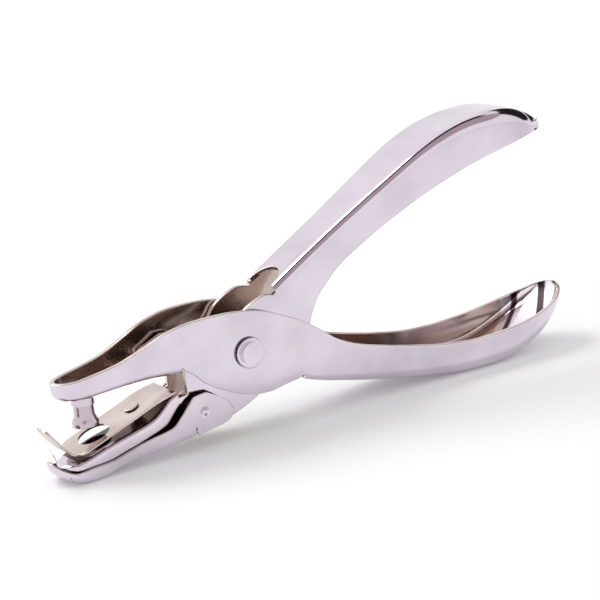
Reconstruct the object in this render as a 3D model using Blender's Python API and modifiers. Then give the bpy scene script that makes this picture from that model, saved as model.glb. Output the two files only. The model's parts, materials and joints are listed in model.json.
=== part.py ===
"""Plier-type single hole punch, pressed from nickel-plated sheet steel.

The outer lever is one pressing: the upper jaw, two round plates at the pivot and the
lower handle. The inner lever is the other: the lower jaw, two plates that lie between
the outer ones, and the upper handle. A rivet joins them, a coil spring round the rivet
holds the jaws apart, and a pin in the upper jaw punches through the lower one. Lengths
are in metres, X runs from the jaws to the handles, Y across, Z up.
"""

import math

import bmesh
import bpy
from mathutils import Matrix, Vector

# Sheet and clearances
SHEET = 0.0012
THIN_SHEET = 0.0006
STRIP_SHEET = 0.0005
GAP = 0.0003
OVERRUN = 0.004
WELD = 0.00002

# Where the pivot stands, and how far the jaws and handles reach from it
PIVOT_HEIGHT = 0.0201
OUTER_JAW_REACH = 0.0463
LOWER_JAW_OVERHANG = 0.0013
CATCHER_OVERHANG = 0.0020
TONGUE_OVERHANG = 0.0010
LOWER_JAW_REACH = OUTER_JAW_REACH + LOWER_JAW_OVERHANG
CATCHER_REACH = LOWER_JAW_REACH + CATCHER_OVERHANG
TONGUE_REACH = CATCHER_REACH + TONGUE_OVERHANG
LOWER_REACH = 0.0923
UPPER_REACH = 0.0911
PIVOT_X = (TONGUE_REACH - LOWER_REACH) / 2
OPEN_ANGLE = math.radians(12.0)

# Outer lever
OUTER_WIDTH = 0.0166
OUTER_NOSE_WIDTH = 0.0094
OUTER_NOSE_DEPTH = 0.0060
PLATE_RISE = 0.0106
PLATE_DROP = 0.0106
JAW_WEB_DROP = 0.0015
JAW_WEB_END_SHARE = 0.3672
JAW_WEB_END = JAW_WEB_END_SHARE * OUTER_JAW_REACH
JAW_BEND = 0.0015
LOWER_WIDTH = 0.0210
LOWER_END_DEPTH = 0.0190
LOWER_BEND = 0.0030
LOWER_FRONT_BEND = 0.0014
RIM_DROP = 0.0122

# Inner lever
INNER_WIDTH = OUTER_WIDTH - 2 * SHEET - 2 * GAP
LOWER_JAW_WIDTH = 0.0106
LOWER_JAW_DEPTH = 0.0190
LOWER_JAW_NOSE_DEPTH = 0.0056
LOWER_JAW_BEND = 0.0012
NOTCH_SHARE = 0.3256
LOBE_SHARE = 0.4664
NOTCH_REACH = NOTCH_SHARE * LOWER_JAW_REACH
LOBE_REACH = LOBE_SHARE * LOWER_JAW_REACH
LOBE_RISE = 0.0060
UPPER_WIDTH = 0.0176
UPPER_END_DEPTH = 0.0190
UPPER_RISE = 0.0412
UPPER_BEND = 0.0019
UPPER_END_BEND = 0.0042
WEB_NOTCH_DEPTH = 0.0044

# Pivot rivet, sleeve and return spring
RIVET_RADIUS = 0.0024
RIVET_HEAD_RADIUS = 0.00365
RIVET_HEAD_HEIGHT = 0.0006
RIVET_RECESS_RADIUS = 0.0023
RIVET_RECESS_DEPTH = 0.0026
SLEEVE_WALL = 0.0006
SPRING_WIRE = 0.0013
SPRING_PITCH = 0.0019
SPRING_ROOM = INNER_WIDTH - 2 * (SHEET + GAP) - SPRING_WIRE
SPRING_TURNS = int(SPRING_ROOM / SPRING_PITCH)
SPRING_LEG_REACH = 0.0250
CURL_POINTS = 10

# Punch pin and the holes that it goes through
PIN_SHARE = 0.8467
PIN_REACH = PIN_SHARE * OUTER_JAW_REACH
PIN_RADIUS = 0.00235
PIN_EDGE_RADIUS = 0.00315
PIN_LENGTH = 0.0070
PIN_FLARE = 0.0030
PIN_LAND = 0.0009
PIN_TAIL_RADIUS = 0.0033
PIN_TAIL_HEIGHT = 0.0007
DIE_CLEARANCE = 0.0005
STRIP_HOLE_CLEARANCE = 0.0008
STRIP_HOLE_RADIUS = PIN_EDGE_RADIUS + STRIP_HOLE_CLEARANCE

# Stripper strip and its standing rivet
STRIP_WIDTH = 0.0112
STRIP_LIFT = 0.0014
STRIP_LAND = 0.0050
STRIP_FRONT = PIN_REACH + STRIP_LAND
STRIP_END_SHARE = 0.479
STRIP_END = STRIP_END_SHARE * LOWER_JAW_REACH
STRIP_TAIL_LIFT = 0.0025
STRIP_TAIL = 0.0043
STRIP_TAIL_WIDTH_SHARE = 0.95
TONGUE_WIDTH = 0.0072
TONGUE_RISE = 0.0070
STRIP_RIVET_SHARE = 0.5777
STRIP_RIVET_REACH = STRIP_RIVET_SHARE * LOWER_JAW_REACH
STRIP_RIVET_RADIUS = 0.0010
STRIP_RIVET_HEAD_RADIUS = 0.0019
STRIP_RIVET_HEAD_HEIGHT = 0.0005

# Chip catcher
CATCHER_NOSE_DEPTH = 0.0066
CATCHER_BEND = 0.0014
CATCHER_AXIS_SHARE = 0.2601
CATCHER_AXIS_REACH = CATCHER_AXIS_SHARE * CATCHER_REACH
CATCHER_AXIS_DROP = 0.0110
DIMPLE_RADIUS = 0.0011
DIMPLE_RECESS_RADIUS = 0.0006

# Outlines as shares: X of the reach that each follows, Z of the height or drop beside it
JAW_RIM_SHARES = (
    (1.00, 0.27), (0.93, 0.28), (0.84, 0.33), (0.74, 0.40), (0.68, 0.46), (0.57, 0.63),
    (0.43, 0.87), (0.35, 0.95), (0.29, 0.99), (0.19, 1.00), (0.08, 0.98), (0.00, 0.935),
)
JAW_WEB_SHARES = (
    (1.00, -0.10), (0.993, 0.45), (0.975, 0.82), (0.94, 1.00), (0.84, 1.05), (0.75, 0.84),
    (0.64, 0.55), (0.54, 0.40), (0.42, 0.60), (0.36, 0.72),
)
PLATE_EDGE_SHARES = (
    (-0.345, -0.075), (-0.325, -0.12), (-0.305, -0.20), (-0.266, -0.39), (-0.205, -0.57),
    (-0.151, -0.70), (-0.073, -0.86),
)
PLATE_REAR_SHARES = ((0.013, -0.98), (0.0477, -1.00), (0.0933, -0.945), (0.1314, -0.90))
LOWER_RIM_SHARES = (
    (0.00, 0.811), (0.043, 0.738), (0.076, 0.639), (0.13, 0.434), (0.153, 0.352),
    (0.181, 0.213), (0.219, 0.00), (0.249, -0.189), (0.316, -0.451), (0.386, -0.615),
    (0.48, -0.795), (0.588, -0.951), (0.672, -1.00), (0.775, -0.975), (0.867, -0.885),
    (0.943, -0.74), (1.00, -0.574),
)
LOWER_WEB_SHARES = (
    (0.152, 0.512), (0.189, 0.577), (0.281, 0.692), (0.421, 0.841), (0.542, 0.945),
    (0.618, 0.99), (0.661, 1.00), (0.737, 1.00), (0.791, 0.960), (0.845, 0.881),
    (0.899, 0.766), (0.953, 0.600), (0.986, 0.450), (1.00, 0.348),
)
LOWER_STAND_SHARES = (0.661, 0.737)
UPPER_WEB_SHARES = (
    (0.105, 0.316), (0.157, 0.383), (0.22, 0.461), (0.351, 0.619), (0.461, 0.750),
    (0.593, 0.898), (0.681, 0.966), (0.757, 0.995), (0.823, 1.00), (0.878, 0.981),
    (0.928, 0.944), (0.966, 0.896), (0.991, 0.850), (1.00, 0.820),
)
UPPER_EDGE_SHARES = (
    (0.181, 0.00), (0.198, 0.068), (0.203, 0.107), (0.22, 0.175), (0.256, 0.257),
    (0.30, 0.337), (0.353, 0.403), (0.475, 0.536), (0.596, 0.646), (0.71, 0.723),
    (0.812, 0.772), (0.90, 0.803), (0.96, 0.818), (1.00, 0.820),
)
LOWER_JAW_WEB_SHARES = (
    (1.00, 0.926), (0.992, 0.874), (0.966, 0.837), (0.914, 0.80), (0.842, 0.753),
    (0.788, 0.711), (0.718, 0.668), (0.599, 0.60), (0.544, 0.563), (0.504, 0.521),
    (0.464, 0.447), (0.426, 0.363), (0.397, 0.321), (0.374, 0.30),
)
LOWER_JAW_WEB_END_SHARE = 0.374
LOWER_JAW_EDGE_SHARES = (
    (1.00, 0.938), (0.97, 0.950), (0.92, 0.975), (0.84, 0.985), (0.735, 0.947), (0.63, 0.911),
    (0.525, 0.884), (0.42, 0.837), (0.32, 0.80),
)
INNER_TOP_SHARES = ((0.60, 0.97), (0.40, 0.75), (0.14, 0.95))
INNER_LOW_SHARES = ((0.60, -1.45), (0.40, -1.40), (0.10, -1.22))
INNER_REAR_TOP_SHARES = ((-0.0049, 1.43), (0.0341, 1.78), (0.0731, 1.95))
INNER_REAR_LOW_SHARES = ((0.0439, -0.95), (0.1097, -0.66), (0.1608, -0.30))
CATCHER_RIM_SHARES = (
    (1.00, 0.741), (0.986, 0.776), (0.964, 0.816), (0.917, 0.861), (0.845, 0.841),
    (0.746, 0.826), (0.641, 0.766), (0.538, 0.706), (0.427, 0.637), (0.375, 0.522),
    (0.339, 0.428), (0.312, 0.358),
)
CATCHER_FLOOR_SHARES = (
    (1.00, 0.816), (0.992, 0.861), (0.964, 0.925), (0.915, 0.980), (0.857, 1.00),
    (0.806, 1.00), (0.754, 0.98), (0.702, 0.945), (0.601, 0.91), (0.498, 0.886),
    (0.393, 0.836), (0.312, 0.806),
)
CATCHER_STAND_SHARES = (0.806, 0.857)
EAR_SHARES = (
    (0.306, 0.352, 0.805), (0.298, 0.343, 0.80), (0.246, 0.328, 0.775), (0.216, 0.358, 0.765),
    (0.165, 0.438, 0.745), (0.135, 0.493, 0.715), (0.112, 0.60, 0.655),
)
LOBE_SHARES = ((1.0, 0.36), (0.985, 0.56), (0.94, 0.68), (0.86, 0.77), (0.77, 0.90))

# The levers' tapers: X as shares of the jaw's or the handle's reach, width as shares of its gain
JAW_TAPER_SHARES = ((1.0, -0.125), (0.85, 0.0), (0.43, 0.60), (0.18, 1.0))
LOWER_TAPER_SHARES = ((0.16, 0.0), (0.48, 0.26), (0.72, 1.0), (1.0, 1.0))
UPPER_TAPER_SHARES = ((0.24, 0.0), (0.68, 1.0), (1.0, 1.0))
CATCHER_TAPER_SHARES = ((1.0, 0.0), (0.605, 0.0), (0.353, 1.0), (0.10, 1.0))
PLATE_FRONT_SHARE = 0.18

# The strip: X as shares of what stands before its bend, or of its front's reach, and its width's share
TONGUE_SHARES = ((1.0, 0.32), (0.97, 0.62), (0.88, 0.86), (0.70, 1.0), (0.40, 0.96), (0.15, 0.90))
STRIP_FRONT_SHARES = ((1.0, 0.62), (0.985, 0.90), (0.95, 1.0), (0.85, 1.0), (0.7, 1.0))


def srgb(red, green, blue):
    """A screen colour as the linear values that a material takes."""
    return tuple(((c + 0.055) / 1.055) ** 2.4 for c in (red, green, blue)) + (1.0,)


def material(name, colour, roughness):
    made = bpy.data.materials.new(name)
    made.use_nodes = True
    shader = made.node_tree.nodes["Principled BSDF"]
    shader.inputs["Base Color"].default_value = colour
    shader.inputs["Metallic"].default_value = 1.0
    shader.inputs["Roughness"].default_value = roughness
    return made


def add_object(name, mesh, collection, finish=None):
    made = bpy.data.objects.new(name, mesh)
    collection.objects.link(made)
    if finish:
        mesh.materials.append(finish)
    return made


def smooth_curve(points):
    """A function of x through the points, which never swings past them."""
    ordered = sorted(points)
    xs = [p[0] for p in ordered]
    zs = [p[1] for p in ordered]
    last = len(xs) - 1
    chords = [(zs[i + 1] - zs[i]) / (xs[i + 1] - xs[i]) for i in range(last)]
    slopes = [chords[0]]
    for i in range(1, last):
        before, after = chords[i - 1], chords[i]
        turns_back = before * after <= 0
        slopes.append(0.0 if turns_back else 2 * before * after / (before + after))
    slopes.append(chords[-1])

    def value(x):
        x = min(max(x, xs[0]), xs[-1])
        i = max(k for k in range(last) if xs[k] <= x)
        width = xs[i + 1] - xs[i]
        t = (x - xs[i]) / width
        start = (1 + 2 * t) * (1 - t) ** 2 * zs[i] + t * (1 - t) ** 2 * width * slopes[i]
        end = t * t * (3 - 2 * t) * zs[i + 1] - t * t * (1 - t) * width * slopes[i + 1]
        return start + end

    return value


def outline(shares, reach, height):
    """A smooth curve through points given as shares of a reach and a height."""
    return smooth_curve([(x * reach, z * height) for x, z in shares])


def spaced(start, end, count, ease=0.0, stand=()):
    """Places from start to end, crowded toward a round end, with the ends of a flat stand among them."""
    places = []
    for i in range(count + 1):
        t = i / count
        crowded = math.sin(t * math.pi / 2)
        places.append(start + (end - start) * ((1 - ease) * t + ease * crowded))
    if stand:
        low, high = min(stand), max(stand)
        places = [p for p in places if not low - WELD < p < high + WELD] + [low, high]
    return sorted(places)


def round_end(x, tip, depth, power=2.0):
    """The share of its full width that a piece keeps at x, near its rounded tip."""
    inside = min(abs(tip - x) / depth, 1.0)
    return (1 - (1 - inside) ** power) ** (1 / power)


def section(web, edge, half_width, bend, wall_steps=3, bend_steps=4):
    """Half a channel's section at -Y: up its wall from the free edge, round the bend, along the web.

    web and edge are the (x, z) places of the web's outer face and of the wall's free edge."""
    web, edge = Vector(web), Vector(edge)
    rise = web - edge
    toward = rise.normalized()
    radius = min(bend, 0.9 * half_width, 0.9 * rise.length)
    start = web - toward * radius
    points = []
    for i in range(wall_steps):
        place = edge.lerp(start, i / wall_steps)
        points.append((place.x, -half_width, place.y))
    for i in range(bend_steps + 1):
        angle = i / bend_steps * math.pi / 2
        place = start + toward * (radius * math.sin(angle))
        points.append((place.x, -half_width + radius * (1 - math.cos(angle)), place.y))
    points.append((web.x, 0.0, web.y))
    return points


def add_grid(mesh, sections, flip=False):
    """Joins neighbouring sections with four-sided faces."""
    rows = [[mesh.verts.new(p) for p in points] for points in sections]
    for one, two in zip(rows, rows[1:]):
        for a in range(len(one) - 1):
            corners = [one[a], two[a], two[a + 1], one[a + 1]]
            mesh.faces.new(reversed(corners) if flip else corners)


def add_grid_pair(mesh, sections, flip=False):
    """The grid given for -Y and its mirror image at +Y."""
    add_grid(mesh, sections, flip)
    add_grid(mesh, [[(x, -y, z) for x, y, z in points] for points in sections], not flip)


def sheet_object(name, mesh, thickness, collection, finish):
    """Gives the open surface its thickness inward, after its shared edges are welded."""
    bmesh.ops.remove_doubles(mesh, verts=mesh.verts, dist=WELD)
    bmesh.ops.dissolve_degenerate(mesh, dist=WELD, edges=mesh.edges)
    data = bpy.data.meshes.new(name)
    mesh.to_mesh(data)
    mesh.free()
    made = add_object(name, data, collection, finish)
    made.data.shade_smooth()
    made.data.set_sharp_from_angle(angle=math.radians(35))
    thicken = made.modifiers.new("sheet", "SOLIDIFY")
    thicken.thickness = thickness
    thicken.offset = -1.0
    thicken.use_even_offset = True
    thicken.use_quality_normals = True
    return made


def cylinder(name, radius, depth, matrix, cutters, segments=32):
    """A plain cylinder along its own Z, for a Boolean."""
    mesh = bmesh.new()
    bmesh.ops.create_cone(
        mesh, cap_ends=True, segments=segments, radius1=radius, radius2=radius, depth=depth
    )
    data = bpy.data.meshes.new(name)
    mesh.to_mesh(data)
    mesh.free()
    made = add_object(name, data, cutters)
    made.matrix_world = matrix
    made.hide_render = True
    made.display_type = "WIRE"
    return made


def boolean(target, tool, operation="DIFFERENCE"):
    step = target.modifiers.new(tool.name, "BOOLEAN")
    step.operation = operation
    step.object = tool


def turned(name, profile, matrix, collection, finish, segments=32):
    """A closed turned solid from its (radius, height) profile, top to bottom, round its own Z."""
    mesh = bmesh.new()
    verts = [mesh.verts.new((radius, 0.0, height)) for radius, height in profile]
    for one, two in zip(verts, verts[1:]):
        mesh.edges.new((one, two))
    data = bpy.data.meshes.new(name)
    mesh.to_mesh(data)
    mesh.free()
    made = add_object(name, data, collection, finish)
    made.matrix_world = matrix
    spin = made.modifiers.new("turn", "SCREW")
    spin.steps = segments
    spin.render_steps = segments
    spin.use_merge_vertices = True
    spin.merge_threshold = WELD
    spin.use_smooth_shade = True
    return made


def along_y(x=0.0, z=0.0, y=0.0):
    """The matrix that lays an object's Z along Y at (x, z)."""
    return Matrix.Translation((x, y, z)) @ Matrix.Rotation(math.radians(90), 4, "X")


# Widths and heights of the levers at X, measured from the pivot

def outer_half_width(x):
    full = OUTER_WIDTH / 2
    nose = OUTER_NOSE_WIDTH / 2
    wide = LOWER_WIDTH / 2
    places = [(-s * OUTER_JAW_REACH, nose + w * (full - nose)) for s, w in JAW_TAPER_SHARES]
    places += [(s * LOWER_REACH, full + w * (wide - full)) for s, w in LOWER_TAPER_SHARES]
    taper = smooth_curve(places)
    if x < 0:
        return taper(x) * round_end(x, -OUTER_JAW_REACH, OUTER_NOSE_DEPTH)
    return taper(x) * round_end(x, LOWER_REACH, LOWER_END_DEPTH, 2.2)


def inner_half_width(x):
    full = INNER_WIDTH / 2
    jaw = LOWER_JAW_WIDTH / 2
    wide = UPPER_WIDTH / 2
    places = [(-LOWER_JAW_REACH, jaw), (-NOTCH_REACH, jaw), (-PLATE_FRONT_SHARE * OUTER_JAW_REACH, full)]
    places += [(s * UPPER_REACH, full + w * (wide - full)) for s, w in UPPER_TAPER_SHARES]
    taper = smooth_curve(places)
    if x < 0:
        return taper(x) * round_end(x, -LOWER_JAW_REACH, LOWER_JAW_NOSE_DEPTH)
    return taper(x) * round_end(x, UPPER_REACH, UPPER_END_DEPTH, 2.2)


def outer_rim(x):
    jaw = outline(JAW_RIM_SHARES, OUTER_JAW_REACH, PLATE_RISE)
    handle = outline(LOWER_RIM_SHARES, LOWER_REACH, RIM_DROP)
    return jaw(-x) if x < 0 else handle(x)


def jaw_web(x):
    """The underside of the upper jaw's web."""
    return -outline(JAW_WEB_SHARES, OUTER_JAW_REACH, JAW_WEB_DROP)(-x)


def lower_jaw_web(x):
    """The top of the lower jaw's web, with the jaws open."""
    return -outline(LOWER_JAW_WEB_SHARES, LOWER_JAW_REACH, LOWER_JAW_DEPTH)(-x)


def lower_jaw_edge(x):
    return -outline(LOWER_JAW_EDGE_SHARES, LOWER_JAW_REACH, LOWER_JAW_DEPTH)(-x)


def lower_web(x):
    """The underside of the lower handle's web."""
    return -outline(LOWER_WEB_SHARES, LOWER_REACH, PIVOT_HEIGHT)(x)


def upper_web(x):
    """The top of the upper handle's web."""
    return outline(UPPER_WEB_SHARES, UPPER_REACH, UPPER_RISE)(x)


def upper_edge(x):
    return outline(UPPER_EDGE_SHARES, UPPER_REACH, UPPER_RISE)(x)


def die_matrix():
    """The die hole's axis: the pin's own, turned down with the open lower jaw."""
    down = Matrix.Rotation(-OPEN_ANGLE, 4, "Y")
    height = lower_jaw_web(-PIN_REACH) + PIN_REACH * math.tan(OPEN_ANGLE)
    return down @ Matrix.Translation((-PIN_REACH, 0.0, height))


def make_outer_lever(parts, cutters, finish):
    """Upper jaw, pivot plates and lower handle, with no web between the plates."""
    mesh = bmesh.new()
    jaw = []
    for x in spaced(-JAW_WEB_END, -OUTER_JAW_REACH, 22, ease=0.85):
        jaw.append(section((x, jaw_web(x)), (x, outer_rim(x)), outer_half_width(x), JAW_BEND))

    handle = []
    start = LOWER_WEB_SHARES[0][0] * LOWER_REACH
    stand = [share * LOWER_REACH for share in LOWER_STAND_SHARES]
    for x in spaced(start, LOWER_REACH, 32, 0.75, stand):
        grown = min((x - start) / (stand[0] - start), 1.0)
        bend = LOWER_FRONT_BEND + (LOWER_BEND - LOWER_FRONT_BEND) * grown
        handle.append(section((x, lower_web(x)), (x, outer_rim(x)), outer_half_width(x), bend))

    wall_rows = 4
    plates = [jaw[-1][:wall_rows]]
    lower_edge = [(s * OUTER_JAW_REACH, z * PLATE_DROP) for s, z in PLATE_EDGE_SHARES]
    lower_edge += [(s * LOWER_REACH, z * PLATE_DROP) for s, z in PLATE_REAR_SHARES]
    for x, bottom in lower_edge:
        half = outer_half_width(x)
        top = outer_rim(x)
        steps = [i / (wall_rows - 1) for i in range(wall_rows)]
        plates.append([(x, -half, top + (bottom - top) * t) for t in steps])
    plates.append(handle[0][:wall_rows])
    for grid in (jaw, plates, handle):
        add_grid_pair(mesh, grid, flip=True)
    lever = sheet_object("outer_lever", mesh, SHEET, parts, finish)

    through = OUTER_WIDTH + OVERRUN
    boolean(lever, cylinder("outer_bore", RIVET_RADIUS + GAP, through, along_y(), cutters))
    place = Matrix.Translation((-PIN_REACH, 0.0, jaw_web(-PIN_REACH)))
    boolean(lever, cylinder("pin_seat", PIN_RADIUS + GAP, OVERRUN, place, cutters))
    return lever


def inner_plate_columns(handle_column):
    """The plates' columns from the notch to the handle, each as its (x, y, z) places from below."""
    rows = len(handle_column)
    x = -NOTCH_REACH
    low = lower_jaw_edge(x)
    wall_top = lower_jaw_web(x) - LOWER_JAW_BEND + GAP
    lobe_floor = jaw_web(-JAW_WEB_END) + SHEET + 2 * GAP
    heights = [low, (low + wall_top) / 2, wall_top]
    heights += [lobe_floor, (lobe_floor + LOBE_RISE) / 2, LOBE_RISE]
    columns = [[(x, z) for z in heights]]
    tops = [(-s * LOBE_REACH, z * LOBE_RISE) for s, z in INNER_TOP_SHARES]
    tops += [(s * UPPER_REACH, z * LOBE_RISE) for s, z in INNER_REAR_TOP_SHARES]
    lows = [(-s * LOBE_REACH, z * PLATE_DROP) for s, z in INNER_LOW_SHARES]
    lows += [(s * UPPER_REACH, z * PLATE_DROP) for s, z in INNER_REAR_LOW_SHARES]
    for top, low in zip(tops, lows):
        column = [Vector(low).lerp(Vector(top), i / (rows - 1)) for i in range(rows)]
        columns.append([tuple(place) for place in column])
    placed = [[(x, -inner_half_width(x), z) for x, z in column] for column in columns]
    return placed + [handle_column]


def lobe_columns(joined):
    """The stop lobe over the upper jaw's web, from its round front to the plate's first column."""
    floor = joined[0][2]
    columns = []
    for share, top in LOBE_SHARES:
        x = -LOBE_REACH * share
        heights = (floor, (floor + top * LOBE_RISE) / 2, top * LOBE_RISE)
        columns.append([(x, -inner_half_width(x), z) for z in heights])
    return columns + [joined]


def make_inner_lever(parts, cutters, finish):
    """Lower jaw, plates with their stop lobes, and the upper handle."""
    mesh = bmesh.new()
    jaw = []
    for x in spaced(-LOWER_JAW_WEB_END_SHARE * LOWER_JAW_REACH, -LOWER_JAW_REACH, 22, ease=0.8):
        web, edge = (x, lower_jaw_web(x)), (x, lower_jaw_edge(x))
        jaw.append(section(web, edge, inner_half_width(x), LOWER_JAW_BEND, wall_steps=2))

    handle = []
    web_start, edge_start = UPPER_WEB_SHARES[0][0], UPPER_EDGE_SHARES[0][0]
    for t in spaced(0.0, 1.0, 34, ease=0.6):
        web_x = (web_start + (1 - web_start) * t) * UPPER_REACH
        edge_x = (edge_start + (1 - edge_start) * t) * UPPER_REACH
        bend = UPPER_BEND + (UPPER_END_BEND - UPPER_BEND) * max(0.0, 2 * t - 1)
        web, edge = (web_x, upper_web(web_x)), (edge_x, upper_edge(edge_x))
        handle.append(section(web, edge, inner_half_width(web_x), bend, wall_steps=5))

    plates = inner_plate_columns(handle[0][:6])
    lobe = lobe_columns(plates[0][3:])
    cheek = [jaw[-1][:3], plates[0][:3]]
    for grid in (jaw, cheek, lobe, plates, handle):
        add_grid_pair(mesh, grid)
    lever = sheet_object("inner_lever", mesh, SHEET, parts, finish)

    through = INNER_WIDTH + OVERRUN
    boolean(lever, cylinder("inner_bore", RIVET_RADIUS + GAP, through, along_y(), cutters))
    hinge = along_y(-CATCHER_AXIS_REACH, -CATCHER_AXIS_DROP)
    boolean(lever, cylinder("catcher_bores", DIMPLE_RADIUS + GAP, through, hinge, cutters, 16))
    die_radius = PIN_EDGE_RADIUS + DIE_CLEARANCE
    boolean(lever, cylinder("die_hole", die_radius, OVERRUN, die_matrix(), cutters))
    x, z, slope = strip_rivet_place()
    seat = Matrix.Translation((x, 0.0, z)) @ Matrix.Rotation(-slope, 4, "Y")
    boolean(lever, cylinder("rivet_seat", STRIP_RIVET_RADIUS + GAP, 3 * OVERRUN, seat, cutters, 16))
    boolean(lever, web_notch(cutters))
    return lever


def web_notch(cutters):
    """The round notch in the front edge of the upper handle's web."""
    start = UPPER_WEB_SHARES[0][0] * UPPER_REACH
    rise = upper_web(start + WEB_NOTCH_DEPTH) - upper_web(start)
    slope = math.atan2(rise, WEB_NOTCH_DEPTH)
    place = Matrix.Translation((start, 0.0, upper_web(start))) @ Matrix.Rotation(-slope, 4, "Y")
    half = INNER_WIDTH / 2 - UPPER_BEND
    tool = cylinder("web_notch", half, 2 * OVERRUN, place, cutters, 48)
    tool.scale = (WEB_NOTCH_DEPTH / half, 1.0, 1.0)
    return tool


def make_pivot_rivet(parts, finish):
    """A rivet with a round head on each side, and a recess in each head."""
    top = OUTER_WIDTH / 2 + GAP + RIVET_HEAD_HEIGHT
    under = OUTER_WIDTH / 2 + GAP
    edge = RIVET_HEAD_HEIGHT / 3
    half = [
        (0.0, top - RIVET_RECESS_DEPTH),
        (RIVET_RECESS_RADIUS, top - RIVET_RECESS_DEPTH),
        (RIVET_RECESS_RADIUS, top - edge),
        (RIVET_RECESS_RADIUS + edge, top),
        (RIVET_HEAD_RADIUS - edge, top),
        (RIVET_HEAD_RADIUS, top - edge),
        (RIVET_HEAD_RADIUS, under),
        (RIVET_RADIUS, under),
    ]
    profile = half + [(radius, -height) for radius, height in reversed(half)]
    return turned("pivot_rivet", profile, along_y(), parts, finish)


def make_pivot_sleeve(parts, finish):
    """The tube between the inner plates that turns on the rivet and carries the spring."""
    inside = RIVET_RADIUS + GAP
    outside = inside + SLEEVE_WALL
    half = INNER_WIDTH / 2 - SHEET - GAP
    profile = [(inside, half), (outside, half), (outside, -half), (inside, -half), (inside, half)]
    return turned("pivot_sleeve", profile, along_y(), parts, finish)


def make_punch_pin(parts, finish):
    """Staked in the upper jaw's web, and flared to its cutting edge."""
    web = jaw_web(-PIN_REACH)
    tail = SHEET + GAP
    bevel = PIN_TAIL_HEIGHT / 2
    profile = [
        (0.0, tail + PIN_TAIL_HEIGHT),
        (PIN_TAIL_RADIUS - bevel, tail + PIN_TAIL_HEIGHT),
        (PIN_TAIL_RADIUS, tail + bevel),
        (PIN_TAIL_RADIUS, tail),
        (PIN_RADIUS, tail),
        (PIN_RADIUS, PIN_FLARE + PIN_LAND - PIN_LENGTH),
        (PIN_EDGE_RADIUS, PIN_LAND - PIN_LENGTH),
        (PIN_EDGE_RADIUS, -PIN_LENGTH),
        (0.0, -PIN_LENGTH),
    ]
    return turned("punch_pin", profile, Matrix.Translation((-PIN_REACH, 0.0, web)), parts, finish)


def strip_top(x):
    """The top of the flat part of the strip: it runs straight from its rear end to its front."""
    front = lower_jaw_web(-STRIP_FRONT) + STRIP_LIFT + STRIP_SHEET
    rear = lower_jaw_web(-STRIP_END) + STRIP_TAIL_LIFT + STRIP_SHEET
    return front + (rear - front) * (x + STRIP_FRONT) / (STRIP_FRONT - STRIP_END)


def strip_rivet_place():
    """The strip rivet's place on the lower jaw's web, and the strip's slope."""
    x = -STRIP_RIVET_REACH
    slope = math.atan2(strip_top(-STRIP_END) - strip_top(-STRIP_FRONT), STRIP_FRONT - STRIP_END)
    return x, strip_top(x), slope


def make_stripper_strip(parts, cutters, finish):
    """A spring strip over the lower jaw, with a round hole for the pin and a raised tongue in front."""
    mesh = bmesh.new()
    half = STRIP_WIDTH / 2
    tongue = TONGUE_WIDTH / 2
    path = []
    for share, width in TONGUE_SHARES:
        x = -STRIP_FRONT - (TONGUE_REACH - STRIP_SHEET - STRIP_FRONT) * share
        path.append((x, strip_top(-STRIP_FRONT) + TONGUE_RISE * share ** 1.3, tongue * width))
    for share, width in STRIP_FRONT_SHARES:
        x = -STRIP_FRONT * share
        path.append((x, strip_top(x), half * width))
    path.append((-STRIP_END, strip_top(-STRIP_END), half))
    rear = STRIP_TAIL - STRIP_END
    path.append((rear, lower_jaw_web(rear) + GAP + STRIP_SHEET, half * STRIP_TAIL_WIDTH_SHARE))
    sections = []
    for x, z, width in path:
        sections.append([(x, -width + width * i / 2, z) for i in range(5)])
    add_grid(mesh, sections)
    strip = sheet_object("stripper_strip", mesh, STRIP_SHEET, parts, finish)
    boolean(strip, cylinder("strip_hole", STRIP_HOLE_RADIUS, 2 * OVERRUN, die_matrix(), cutters))
    x, z, slope = strip_rivet_place()
    place = Matrix.Translation((x, 0.0, z)) @ Matrix.Rotation(-slope, 4, "Y")
    boolean(strip, cylinder("strip_bore", STRIP_RIVET_RADIUS + GAP, OVERRUN, place, cutters, 16))
    return strip


def make_strip_rivet(parts, finish):
    """A shouldered rivet that holds the strip up off the lower jaw."""
    x, z, slope = strip_rivet_place()
    place = Matrix.Translation((x, 0.0, z)) @ Matrix.Rotation(-slope, 4, "Y")
    web = (lower_jaw_web(x) - z) * math.cos(slope)
    head = STRIP_RIVET_HEAD_HEIGHT
    profile = [
        (0.0, GAP + head),
        (STRIP_RIVET_HEAD_RADIUS - head / 2, GAP + head),
        (STRIP_RIVET_HEAD_RADIUS, GAP + head / 2),
        (STRIP_RIVET_HEAD_RADIUS, GAP),
        (STRIP_RIVET_RADIUS, GAP),
        (STRIP_RIVET_RADIUS, -STRIP_SHEET - GAP),
        (STRIP_RIVET_HEAD_RADIUS, -STRIP_SHEET - GAP),
        (STRIP_RIVET_HEAD_RADIUS, web + 2 * GAP),
        (STRIP_RIVET_RADIUS, web + 2 * GAP),
        (STRIP_RIVET_RADIUS, web - SHEET - GAP),
        (0.0, web - SHEET - GAP),
    ]
    return turned("strip_rivet", profile, place, parts, finish, 20)


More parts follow.
